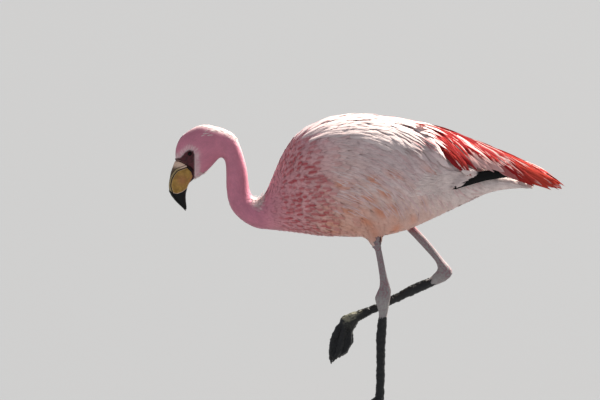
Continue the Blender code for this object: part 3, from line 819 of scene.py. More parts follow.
BARE_ABOVE = {"left": 30 * MM, "right": 0.0}  # how far the shin is bare inside each thigh's solid
BARE_BEHIND = 1.7  # times as far behind the shin
SHIN_WIDE = 10 * MM
FACE_FREE = 0.3  # no feather is rooted where the bare face has more than this share
left_side = root_points[:, 1] < 0
wearing = root_face < FACE_FREE
for side_word in ("left", "right"):  # the shin comes bare out of the back of the thigh's tuft
    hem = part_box(f"thigh_{side_word}")[0].z
    of_thigh = root_labels == FORM_NODES.index(f"thigh_{side_word}")
    shin_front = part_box(f"shank_{side_word}")[0].x + 1 * MM
    behind = root_points[:, 0] > shin_front + SHIN_WIDE
    bare_to = hem + BARE_ABOVE[side_word] * np.where(behind, BARE_BEHIND, 1.0)
    wearing &= ~(of_thigh & (root_points[:, 2] < bare_to) & (root_points[:, 0] > shin_front))


def rooted_on(*nodes):
    return labelled(root_labels, *nodes) & wearing


laid("plumage_head", np.flatnonzero(rooted_on("head", "face")), 2, 3, 0.1, "plume", 0.03)
on_neck = rooted_on("neck_upper", "neck_middle", "neck_lower")
laid("plumage_neck", np.flatnonzero(on_neck), 2, 4, 0.14, "plume", 0.04)
for side_word, on_side in (("left", left_side), ("right", ~left_side)):
    laid(f"plumage_trunk_{side_word}", np.flatnonzero(rooted_on("trunk") & on_side), 4, 4, 0.16)
    laid(f"plumage_wing_{side_word}", np.flatnonzero(rooted_on(f"wing_{side_word}")), 6, 4, 0.14)
    laid(f"plumage_thigh_{side_word}", np.flatnonzero(rooted_on(f"thigh_{side_word}")), 2, 3, 0.25, "plume")
laid("plumage_tail", np.flatnonzero(rooted_on("tail")), 4, 4, 0.12)

# %% [markdown]
# ## A roof for the long feathers
#
# Plumes and blades start on the back and run on over the folded wings, the red fan and the quills, so they
# need one surface that covers all of these. It is melted from the solids as the form was. A ledge where the
# fan's solid starts is eased away with a blur that is strong only there. The surface serves as a guide and
# is removed.

# %% Mantle
MANTLE = ["trunk", "wing_left", "wing_right", "tertials_left", "tertials_right", "primaries_left",
          "primaries_right", "tail", "neck_lower"]
EASED_REACH = 32 * MM  # how far from the ledge the blur reaches
mantle = melted("mantle", MANTLE, 3.0, 8)
mantle_points = points_of(mantle.data)
from_ledge = mantle_points[:, 0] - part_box("tertials_left")[0].x
at_ledge = np.exp(-((from_ledge / EASED_REACH) ** 2))[:, None]
mantle_points += (blurred(mantle_points, edges_of(mantle.data), 14) - mantle_points) * at_ledge
move_points(mantle.data, mantle_points)
mantle_triangles = triangles_of(mantle.data)
mantle_outs = unit(normals_of(mantle.data)[mantle_triangles].sum(axis=1))
mantle_tree = BVHTree.FromPolygons(mantle_points.tolist(), mantle_triangles.tolist())
bpy.data.objects.remove(mantle, do_unlink=True)
print("mantle:", len(mantle_points), "points")

# %% [markdown]
# ## White plumes of the back
#
# The scapulars are long, soft and pointed, and nearly white. They start along the back and end in a ragged
# border high on the side, where each tip hangs free over the flank's darker feathers. They start in six
# rows, one below the other, so that tips end at many heights and roots stay covered. The rear ones hang
# loose, catch the light and run in among the first red blades, and some have red shafts.

# %% Scapulars
# the border that the tips follow: how far back and how far up it runs, in trunks
BORDER = ((0.1, 0.75), (0.17, 0.76), (0.35, 0.83), (0.54, 0.80), (0.70, 0.70), (0.80, 0.62), (0.9, 0.6))
ROWS_ABOVE = (0.30, 0.25, 0.20, 0.15, 0.10, 0.06)  # how far above it each row starts, in trunks
PLUMES_IN_ROW = 86


def plume_roots(side):
    """Starts of the scapulars on one side, in rows above the border."""
    found = []
    for row, rise in enumerate(ROWS_ABOVE):
        ahead = np.linspace(0.06, 0.715 + 0.01 * row, PLUMES_IN_ROW) + dice.normal(0, 0.006, PLUMES_IN_ROW)
        up = np.interp(ahead, *zip(*BORDER)) + rise + dice.normal(0, 0.018, PLUMES_IN_ROW)
        high = TRUNK_LOW[2] + up * (TRUNK_HIGH[2] - TRUNK_LOW[2])
        along = TRUNK_LOW[0] + ahead * (TRUNK_HIGH[0] - TRUNK_LOW[0])
        hits = [mantle_tree.ray_cast(Vector((x, side * 0.2, z)), Vector((0, -side, 0)))[0]
                for x, z in zip(along, high)]
        found += [hit for hit in hits if hit is not None]
    return np.array(found)


def near_form(points, values):
    """Values of the form's points at the points of it that are nearest."""
    return values[[form_kd.find(point)[1] for point in points.tolist()]]


form_kd = KDTree(len(form_points))
for number, point in enumerate(form_points.tolist()):
    form_kd.insert(point, number)
form_kd.balance()


def scapulars(side_word, side):
    roots = plume_roots(side)
    ahead, up = on_trunk(roots)
    droop = smoothstep(0.1, 0.65, ahead) * 0.45 + 0.12
    ways = near_form(roots, form_slopes) + np.stack([0 * droop, 0.2 * side * droop, -droop], axis=1)
    ways = unit(unit(ways) + 0.07 * dice.standard_normal(ways.shape))
    lengths = dice.uniform(46, 70, len(roots)) * MM
    lengths *= np.interp(ahead, (0.05, 0.3, 0.6, 0.73), (0.6, 1.0, 1.0, 0.65))
    turns = dice.normal(0, 0.08, len(roots))
    path, outs = traced(roots, ways, lengths, 4, turns, mantle_tree, mantle_outs)
    skyward = 0.15 + 0.6 * smoothstep(0.38, 0.60, ahead)  # the rear ones hang loose and catch the light
    outs = unit(outs + skyward[:, None, None] * np.array([0.0, 0.0, 1.0]))
    depth = near_form(roots, form_coat[:, 3])
    over = (smoothstep(0.50, 0.62, ahead) - 0.6 * smoothstep(0.62, 0.69, ahead)) * MM  # the first red blades
    highs = 0.15 * depth + dice.uniform(0, 0.8, len(roots)) * MM + 4.2 * over
    lows = -0.3 * depth + 2.0 * over
    built = vanes(path, outs, dice.uniform(8, 12, len(roots)) * MM, lows, highs, "plume", rows=6,
                  fray=0.14, rounding=0.3)
    rose, apricot = markings(roots, np.zeros(len(roots)), np.zeros(len(roots)))
    number = built[2][:, 2].astype(int)
    rose = 0.3 * rose + 0.2 * smoothstep(0.58, 0.72, ahead) * dice.random(len(roots))
    marks = np.stack([rose, 0.1 * apricot, 0 * rose, 0 * rose], axis=1)[number]
    reddened = smoothstep(0.56, 0.66, ahead) * smoothstep(0.78, 0.86, up)
    reddened = reddened * (dice.random(len(roots)) < 0.6)
    aside, along, _ = built[2].T
    marks[:, 2] = 0.85 * reddened[number] * np.exp(-((aside / 0.5) ** 2)) * smoothstep(0.0, 0.3, along)
    along, round_it = unrolled(roots, near_form(roots, form_field))
    feather_piece(f"scapulars_{side_word}", built, (along, round_it), marks, contour)


scapulars("left", -1)
scapulars("right", 1)
print("scapulars:", len(ROWS_ABOVE), "rows of up to", PLUMES_IN_ROW, "on each side")

# %% [markdown]
# ## Blades on a thin solid
#
# Tertials and primaries are the long feathers of the folded wing, and each set has a thin solid of its own.
# Such a feather is a stiff blade, so it isn't traced along the coat but laid between a start and an end on
# the outer face of its solid. A share along that solid and a share down it say where. Rays from the side
# find the face, and a blur along each blade keeps it from kinking where the facets meet.

# %% Lay blades over a thin solid
def sheet_of(node, side):
    """The outward faces of a thin solid as a tree, their normals, and its top and hem from the side."""
    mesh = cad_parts[node].data
    faces = [face for face in mesh.polygons if face.normal.y * side > 0.12]
    points = points_of(mesh)
    tree = BVHTree.FromPolygons(points.tolist(), [list(face.vertices) for face in faces])
    low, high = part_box(node)
    xs = np.linspace(low.x + 1 * MM, high.x - 1 * MM, 24)
    a, b = (points[edges_of(mesh)[:, k]] for k in range(2))
    run = b[:, 0] - a[:, 0]
    run = np.where(abs(run) < 1e-9, 1e-9, run)
    tops, hems = [], []
    for x in xs:
        share = (x - a[:, 0]) / run
        inside = (share >= 0) & (share <= 1)
        heights = (a[:, 2] + share * (b[:, 2] - a[:, 2]))[inside]
        tops.append(heights.max())
        hems.append(heights.min())
    return {"tree": tree, "normals": np.array([list(face.normal) for face in faces]), "side": side,
            "xs": xs, "tops": np.array(tops), "hems": np.array(hems), "low": low, "high": high}


def on_sheet(sheet, places):
    """Side-view points (x, z) from shares along a sheet and down it."""
    x = sheet["low"].x + places[:, 0] * (sheet["high"].x - sheet["low"].x)
    top, hem = (np.interp(x, sheet["xs"], sheet[edge]) for edge in ("tops", "hems"))
    return np.stack([x, top + places[:, 1] * (hem - top)], axis=1)


def laid_on(sheet, starts, ends, bow, knots=6):
    """Bowed paths over a sheet, from starts to ends given in side view, and the way out at each knot."""
    t = np.linspace(0, 1, knots + 1)[None, :, None]
    middle = (starts + ends) / 2
    middle[:, 1] += bow * np.linalg.norm(ends - starts, axis=1)
    flat = (1 - t) ** 2 * starts[:, None] + 2 * t * (1 - t) * middle[:, None] + t**2 * ends[:, None]
    flat[..., 1] = np.minimum(flat[..., 1], np.interp(flat[..., 0], sheet["xs"], sheet["tops"]) - 0.8 * MM)
    path = np.empty(flat.shape[:2] + (3,))
    outs = np.empty_like(path)
    side = sheet["side"]
    for place in np.ndindex(flat.shape[:2]):
        x, z = flat[place]
        spot, _, face, _ = sheet["tree"].ray_cast(Vector((x, side * 0.3, z)), Vector((0, -side, 0)))
        if spot is None:
            spot, _, face, _ = sheet["tree"].find_nearest(Vector((x, side * 0.06, z)))
        path[place] = (x, spot.y, z)
        outs[place] = sheet["normals"][face]
    outs[:, 1:-1] = outs[:, :-2] + outs[:, 1:-1] + outs[:, 2:]
    path[:, 1:-1, 1] = (path[:, :-2, 1] + 2 * path[:, 1:-1, 1] + path[:, 2:, 1]) / 4
    return path, unit(outs)


SHEETS = {f"{kind}_{word}": sheet_of(f"{kind}_{word}", side)
          for kind in ("tertials", "primaries") for word, side in (("left", -1), ("right", 1))}
print("sheets:", {name: len(sheet["normals"]) for name, sheet in SHEETS.items()})

# %% [markdown]
# ## Crimson and black, to the eye
#
# A tertial holds so much carotenoid that it reads as clean crimson, with a white border of bare keratin;
# next to the grey-pink coat it is the one strong colour of the bird. Towards the end of the fan it turns a
# little orange and lighter: partly its own colour, partly painted light that lifts the shaded undersides of
# the tips. A primary is black with melanin, which also makes it hard: it shines a little more than the other
# feathers and draws a crisp dark wedge. The barbs of both are drawn as clumps a few times as wide as the real
# ones.

# %% Blade feathers
CRIMSON = "#9c141c"
SCARLET = "#b52a22"
ORANGE_RED = "#d84634"
BLADE_PALE = "#efc8c3"
MELANIN = "#0d0e0d"
MELANIN_WORN = "#161615"

blade, tree, shader = new_material("crimson_tertial", 0.75, 0.05)
lines, place = barbs(tree, length_mm=91.5, clump_mm=1.6, slant=13.2)
marks = add(tree, "ShaderNodeAttribute", {"attribute_name": "marks"})
redness, rim_share, tip_share = add(tree, "ShaderNodeSeparateColor", Color=marks).outputs[:3]
bleached = add(tree, "ShaderNodeMapRange", i0=place["Z"], i1=0.35, i2=1.0)
red = layered(tree, CRIMSON, (bleached, SCARLET), (marks.outputs["Alpha"], ORANGE_RED))
aside = add(tree, "ShaderNodeMath", {"operation": "ABSOLUTE"}, i0=place["X"])
rim = add(tree, "ShaderNodeMapRange", EASED, i0=aside, i1=0.62, i2=0.86)
rim = add(tree, "ShaderNodeMath", TIMES, i0=rim, i1=rim_share)
tip = add(tree, "ShaderNodeMapRange", EASED, i0=place["Y"], i1=0.74, i2=0.95)
tip = add(tree, "ShaderNodeMath", TIMES, i0=tip, i1=tip_share)
white = add(tree, "ShaderNodeMath", {"operation": "SUBTRACT"}, i0=1.0, i1=redness)
pale = add(tree, "ShaderNodeMath", LARGER, i0=rim, i1=tip)
pale = add(tree, "ShaderNodeMath", LARGER, i0=pale, i1=white)
tone = add(tree, "ShaderNodeMapRange", i0=lines, i1=0.3, i2=0.7, i3=0.86, i4=1.05)
colour = add(tree, "ShaderNodeMix", TINTED, i0=1.0, i6=layered(tree, red, (pale, BLADE_PALE)), i7=tone)
bump = add(tree, "ShaderNodeBump", Strength=0.3, Distance=0.3 * MM, Height=lines)
connect(tree, shader, Base_Color=colour, Normal=bump)

black, tree, shader = new_material("black_primary", 0.6, 0.2)
lines, place = barbs(tree, length_mm=110, clump_mm=1.25, slant=17.6)
worn = add(tree, "ShaderNodeMapRange", i0=lines, i1=0.3, i2=0.7)
bump = add(tree, "ShaderNodeBump", Strength=0.3, Distance=0.3 * MM, Height=lines)
connect(tree, shader, Base_Color=layered(tree, MELANIN, (worn, MELANIN_WORN)), Normal=bump)
print("materials:", blade.name, black.name)

# %% [markdown]
# ## Tertials
#
# The tertials drape over the rump as narrow crimson blades of all lengths, many with a pale edge or tip.
# Wide ones lie below and close the fan, narrow ones lie over them, and a small group crosses the front,
# where the blades droop most. Their ends are given first, as the fan's edge is what the eye follows: it is
# cut back in the middle, above the black quills, and notched between the lobes of its tip. The roots of the
# first blades are buried under the white plumes, and each blade hangs a little steeper than the solid, so
# that the rows overlap.

# %% Tertials
LOUVRE = 0.7  # the most that is left of the height in a blade's way out: less makes it hang steeper
UNDER, OVER, FRONT_GROUP = 76, 84, 16  # blades below, above and across the front
FRONT = ((0.0, 0.02), (0.45, 0.13), (0.75, 0.23), (1.0, 0.35))  # no blade ends before it: down, along
DROOPS = ((0.15, 42), (0.36, 47), (0.45, 33), (0.62, 33), (0.67, 44), (0.73, 30), (0.78, 42), (0.84, 30),
          (1.0, 27))  # how far each blade droops, in degrees, by where it ends along the sheet
BOWS = ((0.15, 0.16), (0.38, 0.17), (0.5, 0.07), (1.0, 0.04))  # how far it bows, as a share of its length
NOTCHES = ((0.745, 0.02), (0.87, 0.03))  # where the edge is notched, and how wide
NOTCH_DEEP = 0.3


def cut_back(end_u):
    """How far the fan's edge is cut back above the black quills, from 0 to 1."""
    return smoothstep(0.38, 0.43, end_u) * smoothstep(0.74, 0.66, end_u)


def blade_ends(top):
    """Where the blades end: along the sheet and down it, and how far each is cut back."""
    end_u = np.concatenate([np.linspace(0.10, 1.0, UNDER), np.linspace(0.16, 1.0, OVER),
                            np.linspace(0.22, 0.37, FRONT_GROUP)])
    end_v = np.concatenate([np.resize((1.0, 0.5, 0.75), UNDER), np.resize((0.98, 0.62, 0.84, 0.34), OVER),
                            np.linspace(0.45, 1.0, FRONT_GROUP)])
    end_v = end_v + dice.normal(0, 0.05, len(top))
    lifted = cut_back(end_u)
    end_v *= 1 - np.where(top, 0.42, 0.24) * lifted
    end_v *= 1 - NOTCH_DEEP * sum(np.exp(-(((end_u - at) / wide) ** 2)) for at, wide in NOTCHES)
    end_u = end_u + dice.normal(0, 0.012, len(top))
    first_u = np.interp(end_v, *zip(*FRONT))
    end_u = np.where(end_u < first_u, first_u + 0.04 * dice.random(len(top)), end_u)
    return end_u, end_v, lifted


def tertials(side_word):
    sheet = SHEETS[f"tertials_{side_word}"]
    count = UNDER + OVER + FRONT_GROUP
    top = np.arange(count) >= UNDER
    end_u, end_v, lifted = blade_ends(top)
    ends = on_sheet(sheet, np.stack([end_u, end_v], axis=1))
    steep = np.radians(np.interp(end_u, *zip(*DROOPS)) + dice.normal(0, 2.5, count))
    lengths = np.where(top, dice.uniform(62, 118, count), dice.uniform(70, 100, count)) * MM
    room = (ends[:, 0] - sheet["low"].x + np.where(top, 8, 2) * MM) / np.cos(steep)
    lengths = np.minimum(lengths, np.maximum(room, 26 * MM))
    starts = ends + lengths[:, None] * np.stack([-np.cos(steep), np.sin(steep)], axis=1)
    highest = np.interp(starts[:, 0], sheet["xs"], sheet["tops"])
    buried = smoothstep(24 * MM, 4 * MM, starts[:, 0] - sheet["low"].x)
    starts[:, 1] = np.minimum(starts[:, 1], highest - 1 * MM - 3 * MM * buried)
    path, outs = laid_on(sheet, starts, ends, np.interp(end_u, *zip(*BOWS)))
    outs = outs * np.array([1.0, 1.0, 0.0]) + outs * np.array([0.0, 0.0, LOUVRE]) * dice.random((count, 1, 1))
    lows = np.where(top, -0.6, -2.6) * MM + dice.uniform(-0.5, 0.5, count) * MM - 4 * MM * buried
    highs = np.where(top, 1.8, -0.5) * MM + dice.uniform(-0.6, 0.9, count) * MM
    widths = np.where(top, dice.uniform(7, 10.5, count), dice.uniform(14, 18, count)) * MM
    built = vanes(path, unit(outs), widths, lows, highs, "blade", rows=8, fray=0.08,
                  rounding=0.3, arch=0.12)
    redness = np.where(top, dice.random(count) < 0.97, dice.random(count) < 0.88).astype(float)
    redness[-FRONT_GROUP:] = 1.0
    redness *= dice.uniform(0.96, 1.0, count) * np.where(top, 1.0, 1 - 0.75 * lifted)
    # orange towards the fan's end: partly own colour, partly painted light lifting the tips' shaded undersides
    orange = smoothstep(0.6, 1.0, end_u) * dice.uniform(0.3, 1.0, count)
    rims = np.where(dice.random(count) < 0.4, dice.uniform(0.4, 1.0, count), 0.0)
    rims[-FRONT_GROUP:] *= 0.3
    tips = np.where(dice.random(count) < 0.25 + 0.5 * lifted, dice.uniform(0.5, 1.0, count), 0.0)
    number = built[2][:, 2].astype(int)
    marks = np.stack([redness, rims, tips, orange], axis=1)[number]
    marks[:, 0] *= 1 - buried[number] * smoothstep(0.5, 0.1, built[2][:, 1])  # their roots are paler: partly the real pale base, partly painted light lifting the shade under the plumes
    feather_piece(f"tertial_feathers_{side_word}", built, starts.T, marks, blade,
                  [f"tertials_{side_word}"])


tertials("left")
tertials("right")
print("tertials:", UNDER + OVER + FRONT_GROUP, "blades on each side")

# %% [markdown]
# ## Blades of the ridge
#
# The two folded wings meet along the middle of the back, and a gap between them would show from above. On
# the bird the innermost tertials close it. Here they are laid along the middle of the mantle from front to
# back; each looks for its root a few millimetres beside the middle, because the guide dips where its two
# sides meet.

# %% Ridge blades
RIDGE_BLADES = 44
RIDGE_FRONT = 62 * MM  # ahead of the red fan
RIDGE_LONG = 232 * MM


def ridge_blades():
    count = RIDGE_BLADES
    along = np.linspace(0.0, 1.0, count)
    start_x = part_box("tertials_left")[0].x - RIDGE_FRONT + along * RIDGE_LONG + dice.normal(0, 2, count) * MM
    roots = []
    for x, y in zip(start_x, dice.normal(0, 3.2, count) * MM):
        beside = math.copysign(max(abs(y), 4 * MM), y)  # the two sides part at the very middle
        roots.append((x, y, mantle_tree.ray_cast(Vector((x, beside, 1)), Vector((0, 0, -1)))[0].z))
    ways = unit(np.stack([np.ones(count), dice.normal(0, 0.05, count), -0.3 * np.ones(count)], axis=1))
    lengths = dice.uniform(58, 96, count) * MM
    path, outs = traced(np.array(roots), ways, lengths, 6, 0.0, mantle_tree, mantle_outs)
    highs = dice.uniform(0.2, 1.2, count) * MM + np.interp(along, (0.0, 0.35), (1.6, 0.0)) * MM
    widths = dice.uniform(6, 9, count) * MM * np.interp(along, (0, 0.4), (0.5, 1))
    built = vanes(path, outs, widths, -1.2 * MM + 0 * highs, highs, "blade", rows=8, fray=0.08,
                  rounding=0.3)
    number = built[2][:, 2].astype(int)
    often = np.interp(along, (0, 0.3, 0.5, 1), (0.7, 0.55, 0.8, 0.85))
    redness = np.where(dice.random(count) < often, 0.98, 0.0)
    rims = dice.uniform(0.2, 1.0, count) * np.interp(along, (0.2, 0.5), (0.3, 1.0))
    marks = np.stack([redness, rims, rims[::-1], 0 * rims], axis=1)[number]
    feather_piece("ridge_feathers", built, (along, dice.random(count)), marks, blade)


ridge_blades()
print("ridge:", RIDGE_BLADES, "blades")

# %% [markdown]
# ## Primaries
#
# Below the red fan the black quills of the folded wing show as a wedge that points up and back. They lie
# like the sticks of a closed fan, so their starts and ends step down evenly and each one lies a little
# higher than the one before. All bow upwards, so that the wedge has a curved upper edge.

# %% Primaries
QUILLS = 11
QUILL_BOW = 0.12  # of its length
STEP_UP = 0.22 * MM


def plain_marks(built, *shares):
    """The same markings on every point of some feathers."""
    return np.tile(shares, (len(built[2]), 1))


def primaries(side_word):
    sheet = SHEETS[f"primaries_{side_word}"]
    from_u, from_v = np.linspace(0.10, -0.02, QUILLS), np.linspace(-0.02, 0.40, QUILLS)
    to_u, to_v = 0.99 - 0.16 * dice.random(QUILLS), np.linspace(0.0, 0.45, QUILLS)
    starts = on_sheet(sheet, np.stack([from_u, from_v], axis=1))
    path, outs = laid_on(sheet, starts, on_sheet(sheet, np.stack([to_u, to_v], axis=1)), QUILL_BOW)
    lows = -1.6 * MM + STEP_UP * np.arange(QUILLS)
    widths = dice.uniform(7, 8.5, QUILLS) * MM
    built = vanes(path, outs, widths, lows, lows + 0.8 * MM, "quill", rows=8, fray=0.03,
                  arch=0.06)
    feather_piece(f"primary_feathers_{side_word}", built, starts.T, plain_marks(built, 0, 0, 0, 0), black,
                  [f"primaries_{side_word}"])


primaries("left")
primaries("right")
print("primaries:", QUILLS, "quills on each side")

# %% [markdown]
# ## Down of the rump
#
# Loose, greyish white down closes the gap between the flank and the first black quills. It ends across the
# quills in a soft border that leaves their lowest edge free and rises towards the back. The border is given
# as a curve, and each tuft ends somewhere above it. Tufts that would fold round an edge of the body are
# left out.

# %% Down over the roots of the primaries
TUFTS = 380
# how far behind the front of the quills' solid, and there how far above its hem the down ends, in mm
DOWN_EDGE = ((-8, -6), (5, 4), (21, 7), (29, 15), (37, 22))
DOWN_DEEP = 36 * MM  # how far above the border tufts may still end


def rump_down(side_word, side):
    sheet, above = SHEETS[f"primaries_{side_word}"], SHEETS[f"tertials_{side_word}"]
    front = sheet["low"].x
    x = front + dice.uniform(-46, 46, TUFTS) * MM
    low = np.interp(x, sheet["xs"], sheet["hems"]) + np.interp((x - front) / MM, *zip(*DOWN_EDGE)) * MM
    high = np.minimum(low + DOWN_DEEP, np.interp(x, above["xs"], above["hems"]) + 1 * MM)
    z = low + dice.random(TUFTS) * np.maximum(high - low, 0)
    angles = np.radians(dice.normal(6, 12, TUFTS))
    lengths = dice.uniform(16, 28, TUFTS) * MM
    ways = np.stack([np.cos(angles), 0 * angles, np.sin(angles)], axis=1)
    starts = np.stack([x, 0 * x, z], axis=1) - ways * lengths[:, None]
    hits = [mantle_tree.ray_cast(Vector((a, side * 0.3, c)), Vector((0, -side, 0)))[0]
            for a, _, c in starts.tolist()]
    found = np.array([hit is not None for hit in hits])
    starts = np.array([hit for hit in hits if hit is not None])
    path, outs = traced(starts, ways[found], lengths[found], 4, 0.0, mantle_tree, mantle_outs)
    flat = (outs[..., 1] * side > 0.5).all(axis=1)  # none that would fold round an edge
    starts, path, outs = starts[flat], path[flat], outs[flat]
    over = smoothstep(-6 * MM, 8 * MM, path[:, -1, 0] - front) * MM  # it stands a little proud of the quills
    highs = dice.uniform(0.2, 1.0, len(starts)) * MM + 1.6 * over
    widths = dice.uniform(2.6, 4.6, len(starts)) * MM
    built = vanes(path, outs, widths, highs - 2.2 * MM, highs, "plume", fray=0.3, rounding=0.3)
    marks = plain_marks(built, 0, 0.1, 0, 0)
    feather_piece(f"rump_down_{side_word}", built, starts[:, [0, 2]].T, marks, contour)


rump_down("left", -1)
rump_down("right", 1)

# %% [markdown]
# ## Strands and wisps
#
# A coat that lies perfectly flat looks moulded. Long thin strands, paler or rosier than the feathers under
# them, break up the flank. On the nape and crown a few thin feathers stand a little off the rest and catch
# the light, a small tuft hangs under the chin, and fluff stands up where the neck folds against the breast.
# The nape's feathers and the fluff are nearly white: partly their own paleness, partly the painted highlight
# of the crown and nape. All are slim plumes from the same maker, only longer, thinner and more loosely laid.

# %% Strands and wisps
def wisps(name, mask, count, length_mm, width_mm, lift_mm, shares, way_turn):
    """Up to a number of slim feathers on roots that a mask allows, with the same markings on all."""
    count = min(count, int(mask.sum()))
    rows = dice.choice(np.flatnonzero(mask), count, replace=False)
    ways = unit(root_slopes[rows] + 0.11 * dice.standard_normal((count, 3)) + np.array(way_turn))
    lengths = dice.uniform(0.7, 1.2, count) * length_mm * MM
    path, outs = traced(root_points[rows], ways, lengths, 4)
    highs = dice.uniform(0.4, 1.3, count) * lift_mm * MM
    widths = dice.uniform(0.8, 1.2, count) * width_mm * MM
    built = vanes(path, outs, widths, -0.5 * MM + 0 * highs, highs, "plume", across=2, fray=0.1,
                  rounding=0.4)
    feather_piece(name, built, (root_along[rows], root_round[rows]), plain_marks(built, *shares), contour)


on_side = rooted_on("trunk", "wing_left", "wing_right") & (root_ahead > 0.30) & (root_ahead < 0.92)
on_side &= (root_up > 0.12) & (root_up < 0.80)
wisps("strands_pale", on_side & (root_up > 0.40), 330, 34, 1.7, 0.3, (0.10, 0.08, 0, 0), (0, 0, -0.25))
wisps("strands_rosy", on_side & (root_up > 0.24), 400, 34, 1.8, 0.3, (0.28, 0.16, 0, 0), (0, 0, -0.2))
head_low, head_high = (np.array(corner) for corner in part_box("head"))
on_head = rooted_on("head", "neck_upper")
place_in_head = (root_points - head_low) / (head_high - head_low)
nape = on_head & (place_in_head[:, 2] > 0.78) & (place_in_head[:, 0] > 0.45)
chin = on_head & (place_in_head[:, 2] < 0.14) & (place_in_head[:, 0] < 0.62)
below_bill = rooted_on("head", "face") & (place_in_head[:, 2] < 0.10) & (place_in_head[:, 0] < 0.46)
# nearly white: partly their own paleness, partly the painted highlight of the crown and nape
wisps("wisps_nape", nape, 80, 15, 1.3, 0.8, (0.05, 0, 0, 0), (0, 0, 0))
wisps("wisps_chin", chin, 40, 10, 1.0, 1.6, (0.04, 0, 0, 0), (0.5, 0, -0.3))
wisps("wisps_below_bill", below_bill, 50, 7, 1.1, 0.9, (0.0, 0, 0, 0), (-1.0, 0, -0.5))
neck_base = rooted_on("neck_middle", "neck_lower") & (root_normals[:, 2] > 0.6)
neck_base &= (root_points[:, 0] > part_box("neck_lower")[0].x + 22 * MM) & (root_ahead < 0.02)
# nearly white: partly their own paleness, partly painted highlight on the up-facing neck base
wisps("fluff_neck_base", neck_base, 70, 13, 1.5, 4.5, (0.03, 0, 0, 0), (0, 0, 0))
print("roots for wisps:", [int(mask.sum()) for mask in (nape, chin, below_bill, neck_base)])

# %% [markdown]
# ## Hulls and bridges
#
# Some solids of the flesh only meet at a point or leave a notch, such as tarsus and foot, or the bill and
# the face. The convex hull of the near parts of both fills it. The shin's upper end is drawn out along
# itself into the body in the same way, so that it comes out of the thigh's tuft and doesn't end below it.

# %% Hulls and bridges between solids
def distance_to(points, nodes):
    tree, _ = tree_of(nodes)
    return np.array([tree.find_nearest(point)[3] for point in points.tolist()])


def drawn_in(piece, depth):
    """Moves the surface of a piece inwards by a depth for each of its points."""
    move_points(piece.data, points_of(piece.data) - normals_of(piece.data) * depth[:, None])


def hull_of(points):
    work = bmesh.new()
    for point in np.unique(points.round(6), axis=0):
        work.verts.new(point)
    hull = bmesh.ops.convex_hull(work, input=work.verts)
    unused = set(hull["geom_interior"] + hull["geom_unused"])
    unused = [item for item in unused if isinstance(item, bmesh.types.BMVert)]
    bmesh.ops.delete(work, geom=unused, context="VERTS")
    mesh = bpy.data.meshes.new("hull")
    work.to_mesh(mesh)
    work.free()
    return mesh


def near_part(node, facing, reach):
    """Points of a solid that are within reach of another."""
    points = points_of(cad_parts[node].data)
    return points[distance_to(points, [facing]) < reach]


def bridge(one, other, reach):
    """The hull of the near parts of two solids, which fills the notch between them."""
    return hull_of(np.concatenate([near_part(one, other, reach), near_part(other, one, reach)]))


def shin_inside(side, up):
    """The upper end of a shin, drawn out along itself into the body."""
    end = near_part(f"shank_{side}", f"thigh_{side}", 1.5 * MM)
    foot_end = near_part(f"shank_{side}", f"tarsus_{side}", 12 * MM)
    return hull_of(np.concatenate([end, end + unit(end.mean(axis=0) - foot_end.mean(axis=0)) * up]))


BRIDGES = {"lower": bridge("lower_bill", "face", 8 * MM), "upper": bridge("upper_bill", "face", 6 * MM)}
for side in ("left", "right"):
    BRIDGES[side] = bridge(f"tarsus_{side}", f"foot_{side}", 14 * MM)
print("bridges:", {word: len(mesh.polygons) for word, mesh in BRIDGES.items()})

# %% [markdown]
# ## One skin
#
# The flesh is one surface from the lids to the toes. It is made of three closed shells that a Boolean
# unites: the body, drawn in by the depth of the coat; the head and the bare face, finer, for the lids; and
# the legs and feet, finer still, for the webs. Each shell dips below the next one where they meet, so no
# seam is left. One remesh fine enough for the toes would give millions of faces on the body, which the coat
# hides anyway.

# %% The body's shell
UNDER_HEAD = 2.5 * MM  # how much deeper the body's shell lies where the head's shell covers it
skin = melted("skin", FEATHERED, 3.2, 6)
skin_at = points_of(skin.data)
skin_edges = edges_of(skin.data)
skin_labels = labels_at(skin_at, FORM_NODES)
deep = near_form(skin_at, form_coat[:, 3])
under = blurred(labelled(skin_labels, "head", "face").astype(float), skin_edges, 3)
drawn_in(skin, SWELL + deep + UNDER_HEAD * under)
print("body's shell:", len(skin_at), "points")

# %% [markdown]
# ## Head and face
#
# Under its feathers the head's skin lies a millimetre deeper than the bare face, which leaves room for
# them. Each eye has a low rim of lid. At the lower end of the face the bare strip tapers and runs out onto
# the side of the lower mandible, so its points are drawn towards the horn there.

# %% The head's shell
HEAD_NODES = ["head", "face"]
head_shell = melted("head_shell", HEAD_NODES, 1.2, 4)
head_at = points_of(head_shell.data)
head_bare = blurred((labels_at(head_at, HEAD_NODES) == 1).astype(float), edges_of(head_shell.data), 6)
dips = 4.0 * MM * smoothstep(12 * MM, 1 * MM, distance_to(head_at, ["neck_upper"]))
EYE_RADIUS = (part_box("eye_left")[1].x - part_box("eye_left")[0].x) / 2
LID_RISE = 0.9 * MM
lids = np.zeros(len(head_at))
for node in ("eye_left", "eye_right"):
    corner_low, corner_high = (np.array(corner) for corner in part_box(node))
    ring = np.linalg.norm(head_at - (corner_low + corner_high) / 2, axis=1) - (EYE_RADIUS + 0.7 * MM)
    lids += np.exp(-((ring / (0.8 * MM)) ** 2))
face_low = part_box("face")[0].z
tapered = 0.9 * smoothstep(face_low + 18 * MM, face_low, head_at[:, 2]) * head_bare
drawn_in(head_shell, SWELL + 1.0 * MM * (1 - head_bare) + dips - LID_RISE * lids)
trough_tree, _ = tree_of(["lower_bill"])
head_at = points_of(head_shell.data)
for number in np.flatnonzero(tapered > 0.01):
    nearest = np.array(trough_tree.find_nearest(head_at[number])[0])
    head_at[number] += (nearest - head_at[number]) * tapered[number]
